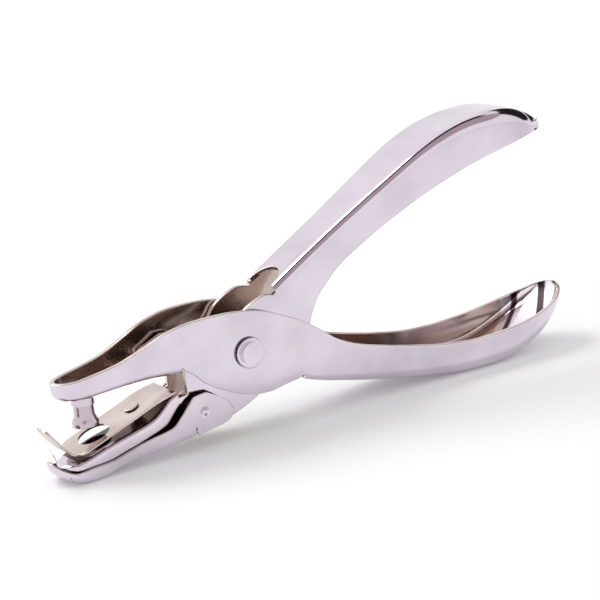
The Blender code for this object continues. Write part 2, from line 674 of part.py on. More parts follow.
def make_chip_catcher(parts, cutters, finish):
    """A channel under the lower jaw that holds the chips, hinged on two dimples in its ears."""
    mesh = bmesh.new()
    wall = GAP + THIN_SHEET
    rim = outline(CATCHER_RIM_SHARES, CATCHER_REACH, PIVOT_HEIGHT)
    floor = outline(CATCHER_FLOOR_SHARES, CATCHER_REACH, PIVOT_HEIGHT)

    full, jaw = INNER_WIDTH / 2, LOWER_JAW_WIDTH / 2
    taper = smooth_curve([(-s * CATCHER_REACH, jaw + w * (full - jaw)) for s, w in CATCHER_TAPER_SHARES])

    def half_width(x):
        return (taper(x) + wall) * round_end(x, -CATCHER_REACH, CATCHER_NOSE_DEPTH)

    body = []
    end = -CATCHER_FLOOR_SHARES[-1][0] * CATCHER_REACH
    stand = [-share * CATCHER_REACH for share in CATCHER_STAND_SHARES]
    for x in spaced(end, -CATCHER_REACH, 22, 0.8, stand):
        web, edge = (x, -floor(-x)), (x, -rim(-x))
        body.append(section(web, edge, half_width(x), CATCHER_BEND, wall_steps=3))
    ears = [body[-1][:4]]
    for share, top, low in EAR_SHARES:
        x = -CATCHER_REACH * share
        steps = [i / 3 for i in range(4)]
        ears.append([(x, -half_width(x), -PIVOT_HEIGHT * (top + (low - top) * t)) for t in steps])
    for grid in (body, ears):
        add_grid_pair(mesh, grid, flip=True)
    catcher = sheet_object("chip_catcher", mesh, THIN_SHEET, parts, finish)

    x, z = -CATCHER_AXIS_REACH, -CATCHER_AXIS_DROP
    outside = half_width(x)
    inside = inner_half_width(x) - SHEET
    for name, side in (("near", -1), ("far", 1)):
        middle = side * (inside + outside - THIN_SHEET / 2) / 2
        length = outside - THIN_SHEET / 2 - inside
        place = along_y(x, z, middle)
        boolean(catcher, cylinder(name + "_dimple", DIMPLE_RADIUS, length, place, cutters, 16), "UNION")
        recess = along_y(x, z, side * outside)
        boolean(catcher, cylinder(name + "_recess", DIMPLE_RECESS_RADIUS, 2 * SHEET, recess, cutters, 12))
    return catcher


def leg_start(end, radius, side):
    """The angle on a coil where a straight leg to the end leaves it, on the side asked for."""
    return math.atan2(end[1], end[0]) + side * math.acos(radius / math.hypot(*end))


def least_gap(points, wire, near):
    """The least gap between turns that are at least a given number of points apart."""
    closest = min(
        (Vector(points[i]) - Vector(points[k])).length
        for i in range(len(points))
        for k in range(i + near, len(points))
    )
    return closest - wire


def make_return_spring(parts, finish):
    """A coil round the sleeve, with one leg under the upper handle's web and one on the lower's."""
    radius = RIVET_RADIUS + 2 * GAP + SLEEVE_WALL + SPRING_WIRE / 2
    clear = SHEET + 2 * GAP + SPRING_WIRE / 2
    reach = SPRING_LEG_REACH
    upper_end = (reach, upper_web(reach) - clear * 1.15)
    lower_end = (reach, lower_web(reach) + clear * 1.05)
    first = leg_start(upper_end, radius, 1)
    last = leg_start(lower_end, radius, -1) + 2 * math.pi * (SPRING_TURNS + 1)
    curls = (last - first) / (2 * math.pi)
    steps = round(curls * CURL_POINTS)
    width = curls * SPRING_PITCH
    coil = []
    for i in range(steps + 1):
        angle = first + (last - first) * i / steps
        y = -width / 2 + width * i / steps
        coil.append((radius * math.cos(angle), y, radius * math.sin(angle)))
    print("return spring: least gap", round(least_gap(coil, SPRING_WIRE, CURL_POINTS // 2), 5))
    start = (upper_end[0], coil[0][1], upper_end[1])
    end = (lower_end[0], coil[-1][1], lower_end[1])
    points = [start] + coil + [end]

    curve = bpy.data.curves.new("return_spring", "CURVE")
    curve.dimensions = "3D"
    curve.bevel_depth = SPRING_WIRE / 2
    curve.bevel_resolution = 1
    curve.use_fill_caps = True
    spline = curve.splines.new("POLY")
    spline.points.add(len(points) - 1)
    for place, point in zip(spline.points, points):
        place.co = (*point, 1.0)
    curve.materials.append(finish)
    made = bpy.data.objects.new("return_spring", curve)
    parts.objects.link(made)
    return made


def hang_catcher(pivot):
    """An empty on the catcher's hinge carries it, so that turning the empty swings it down."""
    hinge = add_object("catcher_hinge", None, bpy.context.scene.collection)
    hinge.parent = pivot
    hinge.location = (-CATCHER_AXIS_REACH, 0.0, -CATCHER_AXIS_DROP)
    catcher = bpy.data.objects["chip_catcher"]
    catcher.parent = hinge
    catcher.matrix_parent_inverse = Matrix.Translation(-hinge.location)


def main():
    for thing in list(bpy.data.objects):
        bpy.data.objects.remove(thing, do_unlink=True)
    parts = bpy.data.collections.new("hole_punch")
    cutters = bpy.data.collections.new("cutters")
    bpy.context.scene.collection.children.link(parts)
    bpy.context.scene.collection.children.link(cutters)
    nickel = srgb(0.85, 0.81, 0.86)

    make_outer_lever(parts, cutters, material("outer nickel", nickel, 0.18))
    make_inner_lever(parts, cutters, material("inner nickel", nickel, 0.18))
    make_pivot_rivet(parts, material("rivet nickel", nickel, 0.2))
    make_pivot_sleeve(parts, material("sleeve steel", srgb(0.62, 0.6, 0.62), 0.35))
    make_punch_pin(parts, material("pin steel", srgb(0.80, 0.77, 0.80), 0.2))
    make_stripper_strip(parts, cutters, material("strip nickel", nickel, 0.15))
    make_strip_rivet(parts, material("strip rivet nickel", nickel, 0.2))
    make_chip_catcher(parts, cutters, material("catcher nickel", nickel, 0.18))
    make_return_spring(parts, material("spring steel", srgb(0.7, 0.68, 0.7), 0.3))

    pivot = add_object("pivot", None, bpy.context.scene.collection)
    pivot.location = (PIVOT_X, 0.0, PIVOT_HEIGHT)
    for group in (parts, cutters):
        for thing in group.objects:
            thing.parent = pivot
    hang_catcher(pivot)


main()
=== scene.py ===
import json
import math

import bmesh
import bpy
import numpy as np
from mathutils import Matrix, Vector


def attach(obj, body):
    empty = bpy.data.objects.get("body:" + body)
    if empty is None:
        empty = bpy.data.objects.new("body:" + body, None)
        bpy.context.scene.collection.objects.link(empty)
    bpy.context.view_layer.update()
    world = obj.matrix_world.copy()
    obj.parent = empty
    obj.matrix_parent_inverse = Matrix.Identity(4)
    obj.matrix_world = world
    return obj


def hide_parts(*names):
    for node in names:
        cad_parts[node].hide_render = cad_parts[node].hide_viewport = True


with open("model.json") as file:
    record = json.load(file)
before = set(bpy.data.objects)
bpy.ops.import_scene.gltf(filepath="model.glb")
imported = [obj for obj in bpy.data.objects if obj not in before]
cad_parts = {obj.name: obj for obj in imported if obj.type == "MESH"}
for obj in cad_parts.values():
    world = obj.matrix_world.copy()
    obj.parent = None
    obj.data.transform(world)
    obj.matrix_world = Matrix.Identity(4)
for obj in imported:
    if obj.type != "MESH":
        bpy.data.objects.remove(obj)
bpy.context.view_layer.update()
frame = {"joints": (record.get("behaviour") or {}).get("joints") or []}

# Plier-type hole punch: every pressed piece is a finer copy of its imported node, with rolled edges.
# Lengths are in metres, X runs from the jaws to the handles, Y across, Z up, the pivot at pivotAt.

pivotAt = np.array([joint for joint in frame["joints"] if joint["name"] == "jaw_close"][0]["pos_m"])
mm = 0.001
sheetMetal = {
    "lever": 1.2 * mm,
    "catcher": 0.6 * mm,
    "strip": 0.5 * mm,
    "gap": 0.3 * mm,
    "weld": 0.02 * mm,
    "rolledEdge": 0.20 * mm,
    "rolledThinEdge": 0.12 * mm,
    "rowBesideEdge": 0.45 * mm,
    "leastWall": 0.35 * mm,
}
print("frame loaded, pivot at", pivotAt)


# Curves and outlines

def curveThrough(points):
    # Monotone cubic through the points: a slope is the harmonic mean of the chords beside it
    xs, zs = np.array(sorted(points), dtype=float).T
    width = np.diff(xs)
    chord = np.diff(zs) / width
    before, after = chord[:-1], chord[1:]
    alike = before * after > 0
    inner = np.where(alike, 2 * before * after / np.where(alike, before + after, 1.0), 0.0)
    slope = np.concatenate([chord[:1], inner, chord[-1:]])

    def value(x):
        x = np.clip(x, xs[0], xs[-1])
        i = np.clip(np.searchsorted(xs, x, side="right") - 1, 0, len(width) - 1)
        t = (x - xs[i]) / width[i]
        start = (1 + 2 * t) * (1 - t) ** 2 * zs[i] + t * (1 - t) ** 2 * width[i] * slope[i]
        end = t * t * (3 - 2 * t) * zs[i + 1] - t * t * (1 - t) * width[i] * slope[i + 1]
        return start + end

    value.ends = (xs[0], xs[-1])
    return value


def eased(curve, reach):
    # A curve averaged over a bell of the given reach, which narrows to nothing at the curve's ends
    offsets = np.linspace(-2, 2, 17)
    weights = np.exp(-0.5 * offsets ** 2)
    weights = weights / weights.sum()
    low, high = curve.ends

    def value(x):
        x = np.clip(np.asarray(x, dtype=float), low, high)
        room = np.minimum(reach, np.minimum(x - low, high - x) / 2)
        return sum(w * curve(x + o * room) for o, w in zip(offsets, weights))

    value.ends = curve.ends
    return value


def outline(shares, reach, height):
    # A curve through points that are shares of a reach and a height
    return curveThrough([(x * reach, z * height) for x, z in shares])


def roundEnd(x, tip, depth, power):
    # The share of its full width that a piece keeps at x, along a superellipse at its tip
    inside = np.minimum(np.abs(tip - x) / depth, 1.0)
    return (1 - (1 - inside) ** power) ** (1 / power)


def endStations(start, tip, depth, power, sideCount, endCount):
    # Even steps along the straight part, then even angles round the superellipse, from start to tip
    way = math.copysign(1.0, tip)
    straightEnd = tip - way * depth
    side = np.linspace(start, straightEnd, sideCount, endpoint=False)
    angle = np.linspace(0, np.pi / 2, endCount)
    return np.concatenate([side, straightEnd + way * depth * np.sin(angle) ** (2 / power)])


# Grids and meshes

def gridFaces(rows, columns, first, flip):
    # Four-sided faces between neighbouring rows and columns of a grid that starts at a vertex number
    i, k = np.meshgrid(np.arange(rows - 1), np.arange(columns - 1), indexing="ij")
    a = first + i * columns + k
    corners = np.stack([a, a + columns, a + columns + 1, a + 1], axis=-1).reshape(-1, 4)
    return corners[:, ::-1] if flip else corners


def surfaceMesh(name, grids):
    # One mesh of several grids, each a (rows, columns, 3) array with its own side out
    points, faces, first = [], [], 0
    for grid, flip in grids:
        rows, columns = grid.shape[:2]
        points.append(grid.reshape(-1, 3))
        faces.append(gridFaces(rows, columns, first, flip))
        first += rows * columns
    mesh = bpy.data.meshes.new(name)
    mesh.from_pydata(np.concatenate(points) + pivotAt, [], np.concatenate(faces))
    shape = bmesh.new()
    shape.from_mesh(mesh)
    bmesh.ops.remove_doubles(shape, verts=shape.verts, dist=sheetMetal["weld"])
    bmesh.ops.dissolve_degenerate(shape, dist=sheetMetal["weld"], edges=shape.edges)
    shape.to_mesh(mesh)
    shape.free()
    return mesh


def newPiece(name, mesh, finishes):
    piece = bpy.data.objects.new(name, mesh)
    bpy.context.scene.collection.objects.link(piece)
    for finish in finishes:
        mesh.materials.append(finish)
    return piece


def thicken(piece, thickness, rolled):
    # The wall grows inward from the drawn face, and both its edges are rolled
    wall = piece.modifiers.new("wall", "SOLIDIFY")
    wall.thickness = thickness
    wall.offset = -1.0
    wall.use_even_offset = False
    wall.use_quality_normals = True
    wall.material_offset = 1
    wall.material_offset_rim = 2
    edge = piece.modifiers.new("rolled edge", "BEVEL")
    edge.width = rolled
    edge.segments = 3
    edge.limit_method = "ANGLE"
    edge.angle_limit = math.radians(60)
    edge.use_clamp_overlap = False


def bored(piece, radius, depth, place, segments=64):
    # A round hole along the place's own Z
    shape = bmesh.new()
    bmesh.ops.create_cone(
        shape, cap_ends=True, segments=segments, radius1=radius, radius2=radius, depth=depth,
    )
    mesh = bpy.data.meshes.new("bore")
    shape.to_mesh(mesh)
    shape.free()
    tool = bpy.data.objects.new("bore", mesh)
    bpy.context.scene.collection.objects.link(tool)
    tool.matrix_world = Matrix.Translation(Vector(pivotAt)) @ place
    cut = piece.modifiers.new("bore", "BOOLEAN")
    cut.object = tool
    return tool


def finished(piece, tools=(), sharp=42):
    # Applies the modifiers, drops the tools and shades the result smooth up to the sharp angle
    bpy.context.view_layer.update()
    evaluated = piece.evaluated_get(bpy.context.evaluated_depsgraph_get())
    mesh = bpy.data.meshes.new_from_object(evaluated)
    piece.modifiers.clear()
    piece.data = mesh
    mesh.name = piece.name
    for tool in tools:
        bpy.data.objects.remove(tool, do_unlink=True)
    mesh.shade_smooth()
    mesh.set_sharp_from_angle(angle=math.radians(sharp))
    print(piece.name, len(mesh.polygons), "faces")
    return piece


def alongY(x=0.0, z=0.0, y=0.0):
    return Matrix.Translation((x, y, z)) @ Matrix.Rotation(math.radians(90), 4, "X")


# Channel sections carried round a plan outline

def loopOf(side, mirror=1.0):
    # One side's stations, then the same ones back along the other side
    return np.concatenate([side, mirror * side[-2::-1]])


def channel(stations, halfAt, webAt, edgeX, edgeZ, bendAt, opening, spineFrom, rows):
    # At each station round the outline: down the wall from its free edge, a quarter turn of the bend
    # along the outline's inward normal, then straight to the spine on the web's own height
    half = halfAt(stations)
    wallX, wallY = loopOf(stations), loopOf(-half, -1.0)
    edgeX, edgeZ = loopOf(edgeX), loopOf(edgeZ)
    step = np.stack([np.diff(wallX), np.diff(wallY)], axis=1)
    step = step / np.linalg.norm(step, axis=1)[:, None]
    along = np.concatenate([step[:1], step[1:] + step[:-1], step[-1:]])
    along = along / np.linalg.norm(along, axis=1)[:, None]
    way = math.copysign(1.0, stations[-1] - stations[0])
    inward = way * np.stack([-along[:, 1], along[:, 0]], axis=1)

    foot = webAt(wallX)
    height = np.maximum(opening * (edgeZ - foot), sheetMetal["leastWall"])
    edgeZ = foot + opening * height
    bend = np.minimum(loopOf(bendAt(stations)), 0.9 * height)

    wallSteps = wallShares(height - bend, rows["wall"])
    top = np.stack([edgeX, wallY, edgeZ], axis=1)
    low = np.stack([wallX, wallY, foot + opening * bend], axis=1)
    wall = top[:, None] + (low - top)[:, None] * wallSteps[:, :, None]

    turn = np.linspace(0, np.pi / 2, rows["bend"] + 1)[None, 1:]
    reach = bend[:, None] * (1 - np.cos(turn))
    bendX = wallX[:, None] + inward[:, :1] * reach
    bendY = wallY[:, None] + inward[:, 1:] * reach
    bendZ = webAt(bendX) + opening * bend[:, None] * (1 - np.sin(turn))
    curl = np.stack([bendX, bendY, bendZ], axis=2)

    past = way * (bendX[:, -1] - spineFrom)
    spineX = np.where(past > 0, spineFrom + way * 0.3 * past, bendX[:, -1])
    t = np.linspace(0, 1, rows["web"] + 1)[None, 1:]
    webX = bendX[:, -1:] + (spineX[:, None] - bendX[:, -1:]) * t
    webY = bendY[:, -1:] * (1 - t)
    web = np.stack([webX, webY, webAt(webX)], axis=2)
    return np.concatenate([wall, curl, web], axis=1)


def wallShares(height, rows):
    # A narrow row beside the free edge, and even rows below it
    narrow = np.minimum(sheetMetal["rowBesideEdge"] / np.maximum(height, sheetMetal["weld"]), 1 / rows)
    even = np.linspace(0, 1, rows)[None, :]
    below = narrow[:, None] + (1 - narrow[:, None]) * even
    return np.concatenate([np.zeros((len(height), 1)), below], axis=1)


def densified(columns, finer):
    # Smooth curves through every row of a few columns, each coordinate a monotone cubic of the index
    count = len(columns)
    places = np.linspace(0, count - 1, (count - 1) * finer + 1)
    rows = np.array(columns)
    made = np.empty((len(places),) + rows.shape[1:])
    for row in range(rows.shape[1]):
        for axis in range(rows.shape[2]):
            made[:, row, axis] = curveThrough(list(enumerate(rows[:, row, axis])))(places)
    return made


def bothSides(grid, flip):
    return [(grid, flip), (grid * np.array([1.0, -1.0, 1.0]), not flip)]


# Outer lever: upper jaw, pivot plates and lower handle in one pressing

outerLever = {
    "width": 16.6 * mm, "plateRise": 10.6 * mm, "plateDrop": 10.6 * mm, "bore": 2.7 * mm,
    "jawReach": 46.3 * mm, "noseWidth": 9.4 * mm, "noseDepth": 6.0 * mm,
    "jawWebDrop": 1.5 * mm, "jawWebEnd": 17.0 * mm, "jawBend": 1.5 * mm,
    "handleReach": 92.3 * mm, "handleWidth": 21.0 * mm, "handleEndDepth": 19.0 * mm, "handleEndPower": 2.2,
    "handleBend": 3.0 * mm, "handleFrontBend": 1.4 * mm, "rimDrop": 12.2 * mm, "webEase": 2.0 * mm,
    "jawRows": {"wall": 7, "bend": 8, "web": 12},
    "handleRows": {"wall": 7, "bend": 12, "web": 14},
    "jawTaperShares": ((1.0, -0.125), (0.85, 0.0), (0.43, 0.60), (0.18, 1.0)),
    "handleTaperShares": ((0.16, 0.0), (0.48, 0.26), (0.72, 1.0), (1.0, 1.0)),
    "jawRimShares": (
        (1.00, 0.27), (0.93, 0.28), (0.84, 0.33), (0.74, 0.40), (0.68, 0.46), (0.57, 0.63),
        (0.43, 0.87), (0.35, 0.95), (0.29, 0.99), (0.19, 1.00), (0.08, 0.98), (0.00, 0.935),
    ),
    "jawWebShares": (
        (1.00, -0.10), (0.993, 0.45), (0.975, 0.82), (0.94, 1.00), (0.84, 1.05), (0.75, 0.84),
        (0.64, 0.55), (0.54, 0.40), (0.42, 0.60), (0.36, 0.72),
    ),
    "plateEdgeShares": (
        (-0.345, -0.075), (-0.325, -0.12), (-0.305, -0.20), (-0.266, -0.39), (-0.205, -0.57),
        (-0.151, -0.70), (-0.073, -0.86), (0.026, -0.98), (0.095, -1.00), (0.186, -0.945),
        (0.262, -0.90),
    ),
    "handleRimShares": (
        (0.00, 0.811), (0.043, 0.738), (0.076, 0.639), (0.13, 0.434), (0.153, 0.352),
        (0.181, 0.213), (0.219, 0.00), (0.249, -0.189), (0.316, -0.451), (0.386, -0.615),
        (0.48, -0.795), (0.588, -0.951), (0.672, -1.00), (0.775, -0.975), (0.867, -0.885),
        (0.943, -0.74), (1.00, -0.574),
    ),
    "handleWebShares": (
        (0.152, 0.512), (0.189, 0.577), (0.281, 0.692), (0.421, 0.841), (0.542, 0.945),
        (0.618, 0.99), (0.661, 1.00), (0.737, 1.00), (0.791, 0.960), (0.845, 0.881),
        (0.899, 0.766), (0.953, 0.600), (0.986, 0.450), (1.00, 0.348),
    ),
    "standShare": 0.661,
}


def outerHalfFull(x):
    # Half the lever's width before its ends are rounded
    lever = outerLever
    full, nose, wide = lever["width"] / 2, lever["noseWidth"] / 2, lever["handleWidth"] / 2
    places = [(-s * lever["jawReach"], nose + w * (full - nose)) for s, w in lever["jawTaperShares"]]
    places += [(s * lever["handleReach"], full + w * (wide - full)) for s, w in lever["handleTaperShares"]]
    return eased(curveThrough(places), 3 * mm)(x)


def outerRim(x):
    # The free edge along the top, from the jaw over the plates to the handle's end
    lever = outerLever
    jaw = outline(lever["jawRimShares"], -lever["jawReach"], lever["plateRise"])
    handle = outline(lever["handleRimShares"], lever["handleReach"], lever["rimDrop"])
    return np.where(x < 0, eased(jaw, 1 * mm)(x), eased(handle, 1 * mm)(x))


def jawWeb(x):
    # The underside of the upper jaw
    lever = outerLever
    return -outline(lever["jawWebShares"], -lever["jawReach"], lever["jawWebDrop"])(x)


def handleWeb(x):
    # The underside of the lower handle
    lever = outerLever
    drop = outline(lever["handleWebShares"], lever["handleReach"], pivotAt[2])
    return -eased(drop, lever["webEase"])(x)


def makeOuterLever(finishes):
    lever = outerLever
    jawTip, handleTip = -lever["jawReach"], lever["handleReach"]

    def jawHalf(x):
        return outerHalfFull(x) * roundEnd(x, jawTip, lever["noseDepth"], 2.0)

    def handleHalf(x):
        return outerHalfFull(x) * roundEnd(x, handleTip, lever["handleEndDepth"], lever["handleEndPower"])

    along = endStations(-lever["jawWebEnd"], jawTip, lever["noseDepth"], 2.0, 60, 40)
    jaw = channel(
        along, jawHalf, jawWeb, along, outerRim(along), lambda x: np.full(len(x), lever["jawBend"]),
        1, jawTip + lever["noseDepth"], lever["jawRows"],
    )

    start = lever["handleWebShares"][0][0] * handleTip
    stand = lever["standShare"] * handleTip

    def handleBend(x):
        grown = np.clip((x - start) / (stand - start), 0, 1)
        return lever["handleFrontBend"] + (lever["handleBend"] - lever["handleFrontBend"]) * grown

    along = endStations(start, handleTip, lever["handleEndDepth"], lever["handleEndPower"], 110, 64)
    handle = channel(
        along, handleHalf, handleWeb, along, outerRim(along), handleBend,
        1, handleTip - 0.8 * lever["handleEndDepth"], lever["handleRows"],
    )

    edge = outline(lever["plateEdgeShares"], lever["jawReach"], lever["plateDrop"])
    rows = lever["jawRows"]["wall"] + 1
    x = np.linspace(*edge.ends, 90)
    top, low = outerRim(x), edge(x)
    shares = wallShares(top - low, rows - 1)
    plate = np.stack([
        np.repeat(x[:, None], rows, axis=1),
        np.repeat(-outerHalfFull(x)[:, None], rows, axis=1),
        top[:, None] + (low - top)[:, None] * shares,
    ], axis=2)
    plate = np.concatenate([jaw[:1, :rows], plate, handle[:1, :rows]])

    mesh = surfaceMesh("outerLever", [(jaw, False), (handle, True)] + bothSides(plate, True))
    piece = newPiece("upper_jaw_and_lower_handle", mesh, finishes)
    thicken(piece, sheetMetal["lever"], sheetMetal["rolledEdge"])
    through = lever["width"] + 4 * mm
    pinSeat = Matrix.Translation((-punchPin["reach"], 0, float(jawWeb(-punchPin["reach"]))))
    tools = [
        bored(piece, lever["bore"], through, alongY()),
        bored(piece, punchPin["radius"] + sheetMetal["gap"], 4 * mm, pinSeat),
    ]
    return finished(piece, tools)


# Inner lever: lower jaw, plates with their stop lobes, and upper handle in one pressing

innerLever = {
    "width": 13.6 * mm, "bore": 2.7 * mm, "openAngle": math.radians(12.0),
    "jawReach": 47.6 * mm, "jawWidth": 10.6 * mm, "jawDepth": 19.0 * mm, "noseDepth": 5.6 * mm,
    "jawBend": 1.2 * mm, "jawWebEndShare": 0.374, "notchReach": 15.5 * mm,
    "lobeReach": 22.2 * mm, "lobeRise": 6.0 * mm,
    "handleReach": 91.1 * mm, "handleWidth": 17.6 * mm, "handleEndDepth": 19.0 * mm, "handleEndPower": 2.2,
    "handleRise": 41.2 * mm, "handleBend": 1.9 * mm, "handleEndBend": 4.2 * mm, "webEase": 2.0 * mm,
    "notchDepth": 4.4 * mm, "notchFade": 12.0 * mm,
    # Painted shade on the web under the strip: how far back and how wide it reaches, the least upward normal,
    # and its finish slot
    "paintedShadeRear": -17.0 * mm, "paintedShadeHalf": 4.1 * mm, "paintedShadeNormal": 0.5, "paintedShadeSlot": 3,
    "jawRows": {"wall": 5, "bend": 7, "web": 12},
    "handleRows": {"wall": 11, "bend": 10, "web": 16},
    "plateFrontShare": 0.18,
    "handleTaperShares": ((0.24, 0.0), (0.68, 1.0), (1.0, 1.0)),
    "handleWebShares": (
        (0.105, 0.316), (0.157, 0.383), (0.22, 0.461), (0.351, 0.619), (0.461, 0.750),
        (0.593, 0.898), (0.681, 0.966), (0.757, 0.995), (0.823, 1.00), (0.878, 0.981),
        (0.928, 0.944), (0.966, 0.896), (0.991, 0.850), (1.00, 0.820),
    ),
    "handleEdgeShares": (
        (0.181, 0.00), (0.198, 0.068), (0.203, 0.107), (0.22, 0.175), (0.256, 0.257),
        (0.30, 0.337), (0.353, 0.403), (0.475, 0.536), (0.596, 0.646), (0.71, 0.723),
        (0.812, 0.772), (0.90, 0.803), (0.96, 0.818), (1.00, 0.820),
    ),
    "jawWebShares": (
        (1.00, 0.926), (0.992, 0.874), (0.966, 0.837), (0.914, 0.80), (0.842, 0.753),
        (0.788, 0.711), (0.718, 0.668), (0.599, 0.60), (0.544, 0.563), (0.504, 0.521),
        (0.464, 0.447), (0.426, 0.363), (0.397, 0.321), (0.374, 0.30),
    ),
    "jawEdgeShares": (
        (1.00, 0.938), (0.97, 0.950), (0.92, 0.975), (0.84, 0.985), (0.735, 0.947), (0.63, 0.911),
        (0.525, 0.884), (0.42, 0.837), (0.32, 0.80),
    ),
    "plateTopShares": (
        (0.60, 0.97), (0.40, 0.75), (0.14, 0.95), (0.02, 1.43), (-0.14, 1.78), (-0.30, 1.95),
    ),
    "plateLowShares": (
        (0.60, -1.45), (0.40, -1.40), (0.10, -1.22), (-0.18, -0.95), (-0.45, -0.66), (-0.66, -0.30),
    ),
    "lobeShares": ((1.0, 0.36), (0.985, 0.56), (0.94, 0.68), (0.86, 0.77), (0.77, 0.90)),
}


def innerHalfFull(x):
    lever = innerLever
    full, jaw, wide = lever["width"] / 2, lever["jawWidth"] / 2, lever["handleWidth"] / 2
    front = lever["plateFrontShare"] * outerLever["jawReach"]
    places = [(-lever["jawReach"], jaw), (-lever["notchReach"], jaw), (-front, full)]
    places += [(s * lever["handleReach"], full + w * (wide - full)) for s, w in lever["handleTaperShares"]]
    return curveThrough(places)(x)


def lowerJawWeb(x):
    # The top of the lower jaw, with the jaws open
    lever = innerLever
    return -outline(lever["jawWebShares"], -lever["jawReach"], lever["jawDepth"])(x)


def lowerJawEdge(x):
    lever = innerLever
    return -outline(lever["jawEdgeShares"], -lever["jawReach"], lever["jawDepth"])(x)


def upperWeb(x):
    # The top of the upper handle
    lever = innerLever
    web = outline(lever["handleWebShares"], lever["handleReach"], lever["handleRise"])
    return eased(web, lever["webEase"])(x)


def upperEdge(x):
    lever = innerLever
    return eased(outline(lever["handleEdgeShares"], lever["handleReach"], lever["handleRise"]), 1 * mm)(x)


def bothEdgesShares(height, rows):
    # A narrow row at each end of a column, and even rows between them
    narrow = min(sheetMetal["rowBesideEdge"] / height, 0.8 / (rows - 1))
    return np.concatenate([[0.0], np.linspace(narrow, 1 - narrow, rows - 2), [1.0]])


def dieMatrix():
    # The pin's axis, turned down with the open lower jaw
    lever, pin = innerLever, punchPin
    height = float(lowerJawWeb(-pin["reach"])) + pin["reach"] * math.tan(lever["openAngle"])
    down = Matrix.Rotation(-lever["openAngle"], 4, "Y")
    return down @ Matrix.Translation((-pin["reach"], 0.0, height))


def plateColumns(lever, handleColumn):
    # From the notch to the handle: the first column is split by the notch, the others run evenly
    rows = len(handleColumn)
    jawRows = lever["jawRows"]["wall"] + 1
    x = -lever["notchReach"]
    low = float(lowerJawEdge(x))
    wallTop = float(lowerJawWeb(x)) - lever["jawBend"] + sheetMetal["gap"]
    floor = float(jawWeb(-outerLever["jawWebEnd"])) + sheetMetal["lever"] + 2 * sheetMetal["gap"]
    lobe = bothEdgesShares(lever["lobeRise"] - floor, rows - jawRows)
    lower = low + (wallTop - low) * wallShares(np.array([wallTop - low]), jawRows - 1)[0]
    heights = np.concatenate([lower, floor + (lever["lobeRise"] - floor) * lobe])
    columns = [np.stack([np.full(rows, x), heights], axis=1)]
    for (topX, topZ), (lowX, lowZ) in zip(lever["plateTopShares"], lever["plateLowShares"]):
        top = np.array([-topX * lever["lobeReach"], topZ * lever["lobeRise"]])
        low = np.array([-lowX * lever["lobeReach"], lowZ * outerLever["plateDrop"]])
        t = bothEdgesShares(float(np.linalg.norm(top - low)), rows)[:, None]
        columns.append(low + (top - low) * t)
    columns.append(handleColumn[:, [0, 2]])
    return columns


def lobeColumns(lever, joined):
    floor = joined[0, 1]
    columns = []
    for share, top in lever["lobeShares"]:
        height = top * lever["lobeRise"] - floor
        z = floor + height * bothEdgesShares(height, len(joined))
        columns.append(np.stack([np.full(len(joined), -lever["lobeReach"] * share), z], axis=1))
    return columns + [joined]


def besideInner(grid):
    # Puts a side view's (x, z) points on the near plate
    return np.stack([grid[..., 0], -innerHalfFull(grid[..., 0]), grid[..., 1]], axis=-1)


def makeInnerLever(finishes):
    lever = innerLever
    jawTip, handleTip = -lever["jawReach"], lever["handleReach"]

    def jawHalf(x):
        return innerHalfFull(x) * roundEnd(x, jawTip, lever["noseDepth"], 2.0)

    def handleHalf(x):
        return innerHalfFull(x) * roundEnd(x, handleTip, lever["handleEndDepth"], lever["handleEndPower"])

    along = endStations(jawTip * lever["jawWebEndShare"], jawTip, lever["noseDepth"], 2.0, 60, 36)
    jaw = channel(
        along, jawHalf, lowerJawWeb, along, lowerJawEdge(along), lambda x: np.full(len(x), lever["jawBend"]),
        -1, jawTip + lever["noseDepth"], lever["jawRows"],
    )

    webStart, edgeStart = lever["handleWebShares"][0][0], lever["handleEdgeShares"][0][0]

    def handleBend(x):
        t = (x / handleTip - webStart) / (1 - webStart)
        return lever["handleBend"] + (lever["handleEndBend"] - lever["handleBend"]) * np.maximum(0, 2 * t - 1)

    along = endStations(
        webStart * handleTip, handleTip, lever["handleEndDepth"], lever["handleEndPower"], 120, 64,
    )
    edgeX = (edgeStart + (1 - edgeStart) * (along / handleTip - webStart) / (1 - webStart)) * handleTip
    handle = channel(
        along, handleHalf, upperWeb, edgeX, upperEdge(edgeX), handleBend,
        -1, handleTip - 0.8 * lever["handleEndDepth"], lever["handleRows"],
    )
    notched(handle, lever, webStart * handleTip)

    rows = lever["handleRows"]["wall"] + 1
    jawRows = lever["jawRows"]["wall"] + 1
    columns = plateColumns(lever, handle[0, :rows])
    plate = besideInner(densified(columns, 12))
    lobe = besideInner(densified(lobeColumns(lever, columns[0][jawRows:]), 5))
    cheek = besideInner(densified([jaw[0, :jawRows][:, [0, 2]], columns[0][:jawRows]], 5))
    sides = bothSides(plate, False) + bothSides(lobe, False) + bothSides(cheek, False)
    mesh = surfaceMesh("innerLever", [(jaw, True), (handle, False)] + sides)
    piece = newPiece("lower_jaw_and_upper_handle", mesh, finishes)
    thicken(piece, sheetMetal["lever"], sheetMetal["rolledEdge"])
    through = lever["width"] + 4 * mm
    tools = [
        bored(piece, lever["bore"], through, alongY()),
        bored(piece, chipCatcher["dimpleRadius"] + sheetMetal["gap"], through, catcherHinge()),
        bored(piece, punchPin["edgeRadius"] + punchPin["dieClearance"], 4 * mm, dieMatrix()),
        bored(piece, stripRivet["radius"] + sheetMetal["gap"], 12 * mm, stripRivetPlace()),
    ]
    finished(piece, tools)
    # Painted shade: the web's upward faces under the strip, round the die, take the dark shade finish
    for face in piece.data.polygons:
        at = face.center - Vector(pivotAt)
        under = -stripperStrip["front"] < at.x < lever["paintedShadeRear"] and abs(at.y) < lever["paintedShadeHalf"]
        if under and at.z < 0 and face.normal.z > lever["paintedShadeNormal"]:
            face.material_index = lever["paintedShadeSlot"]
    return piece


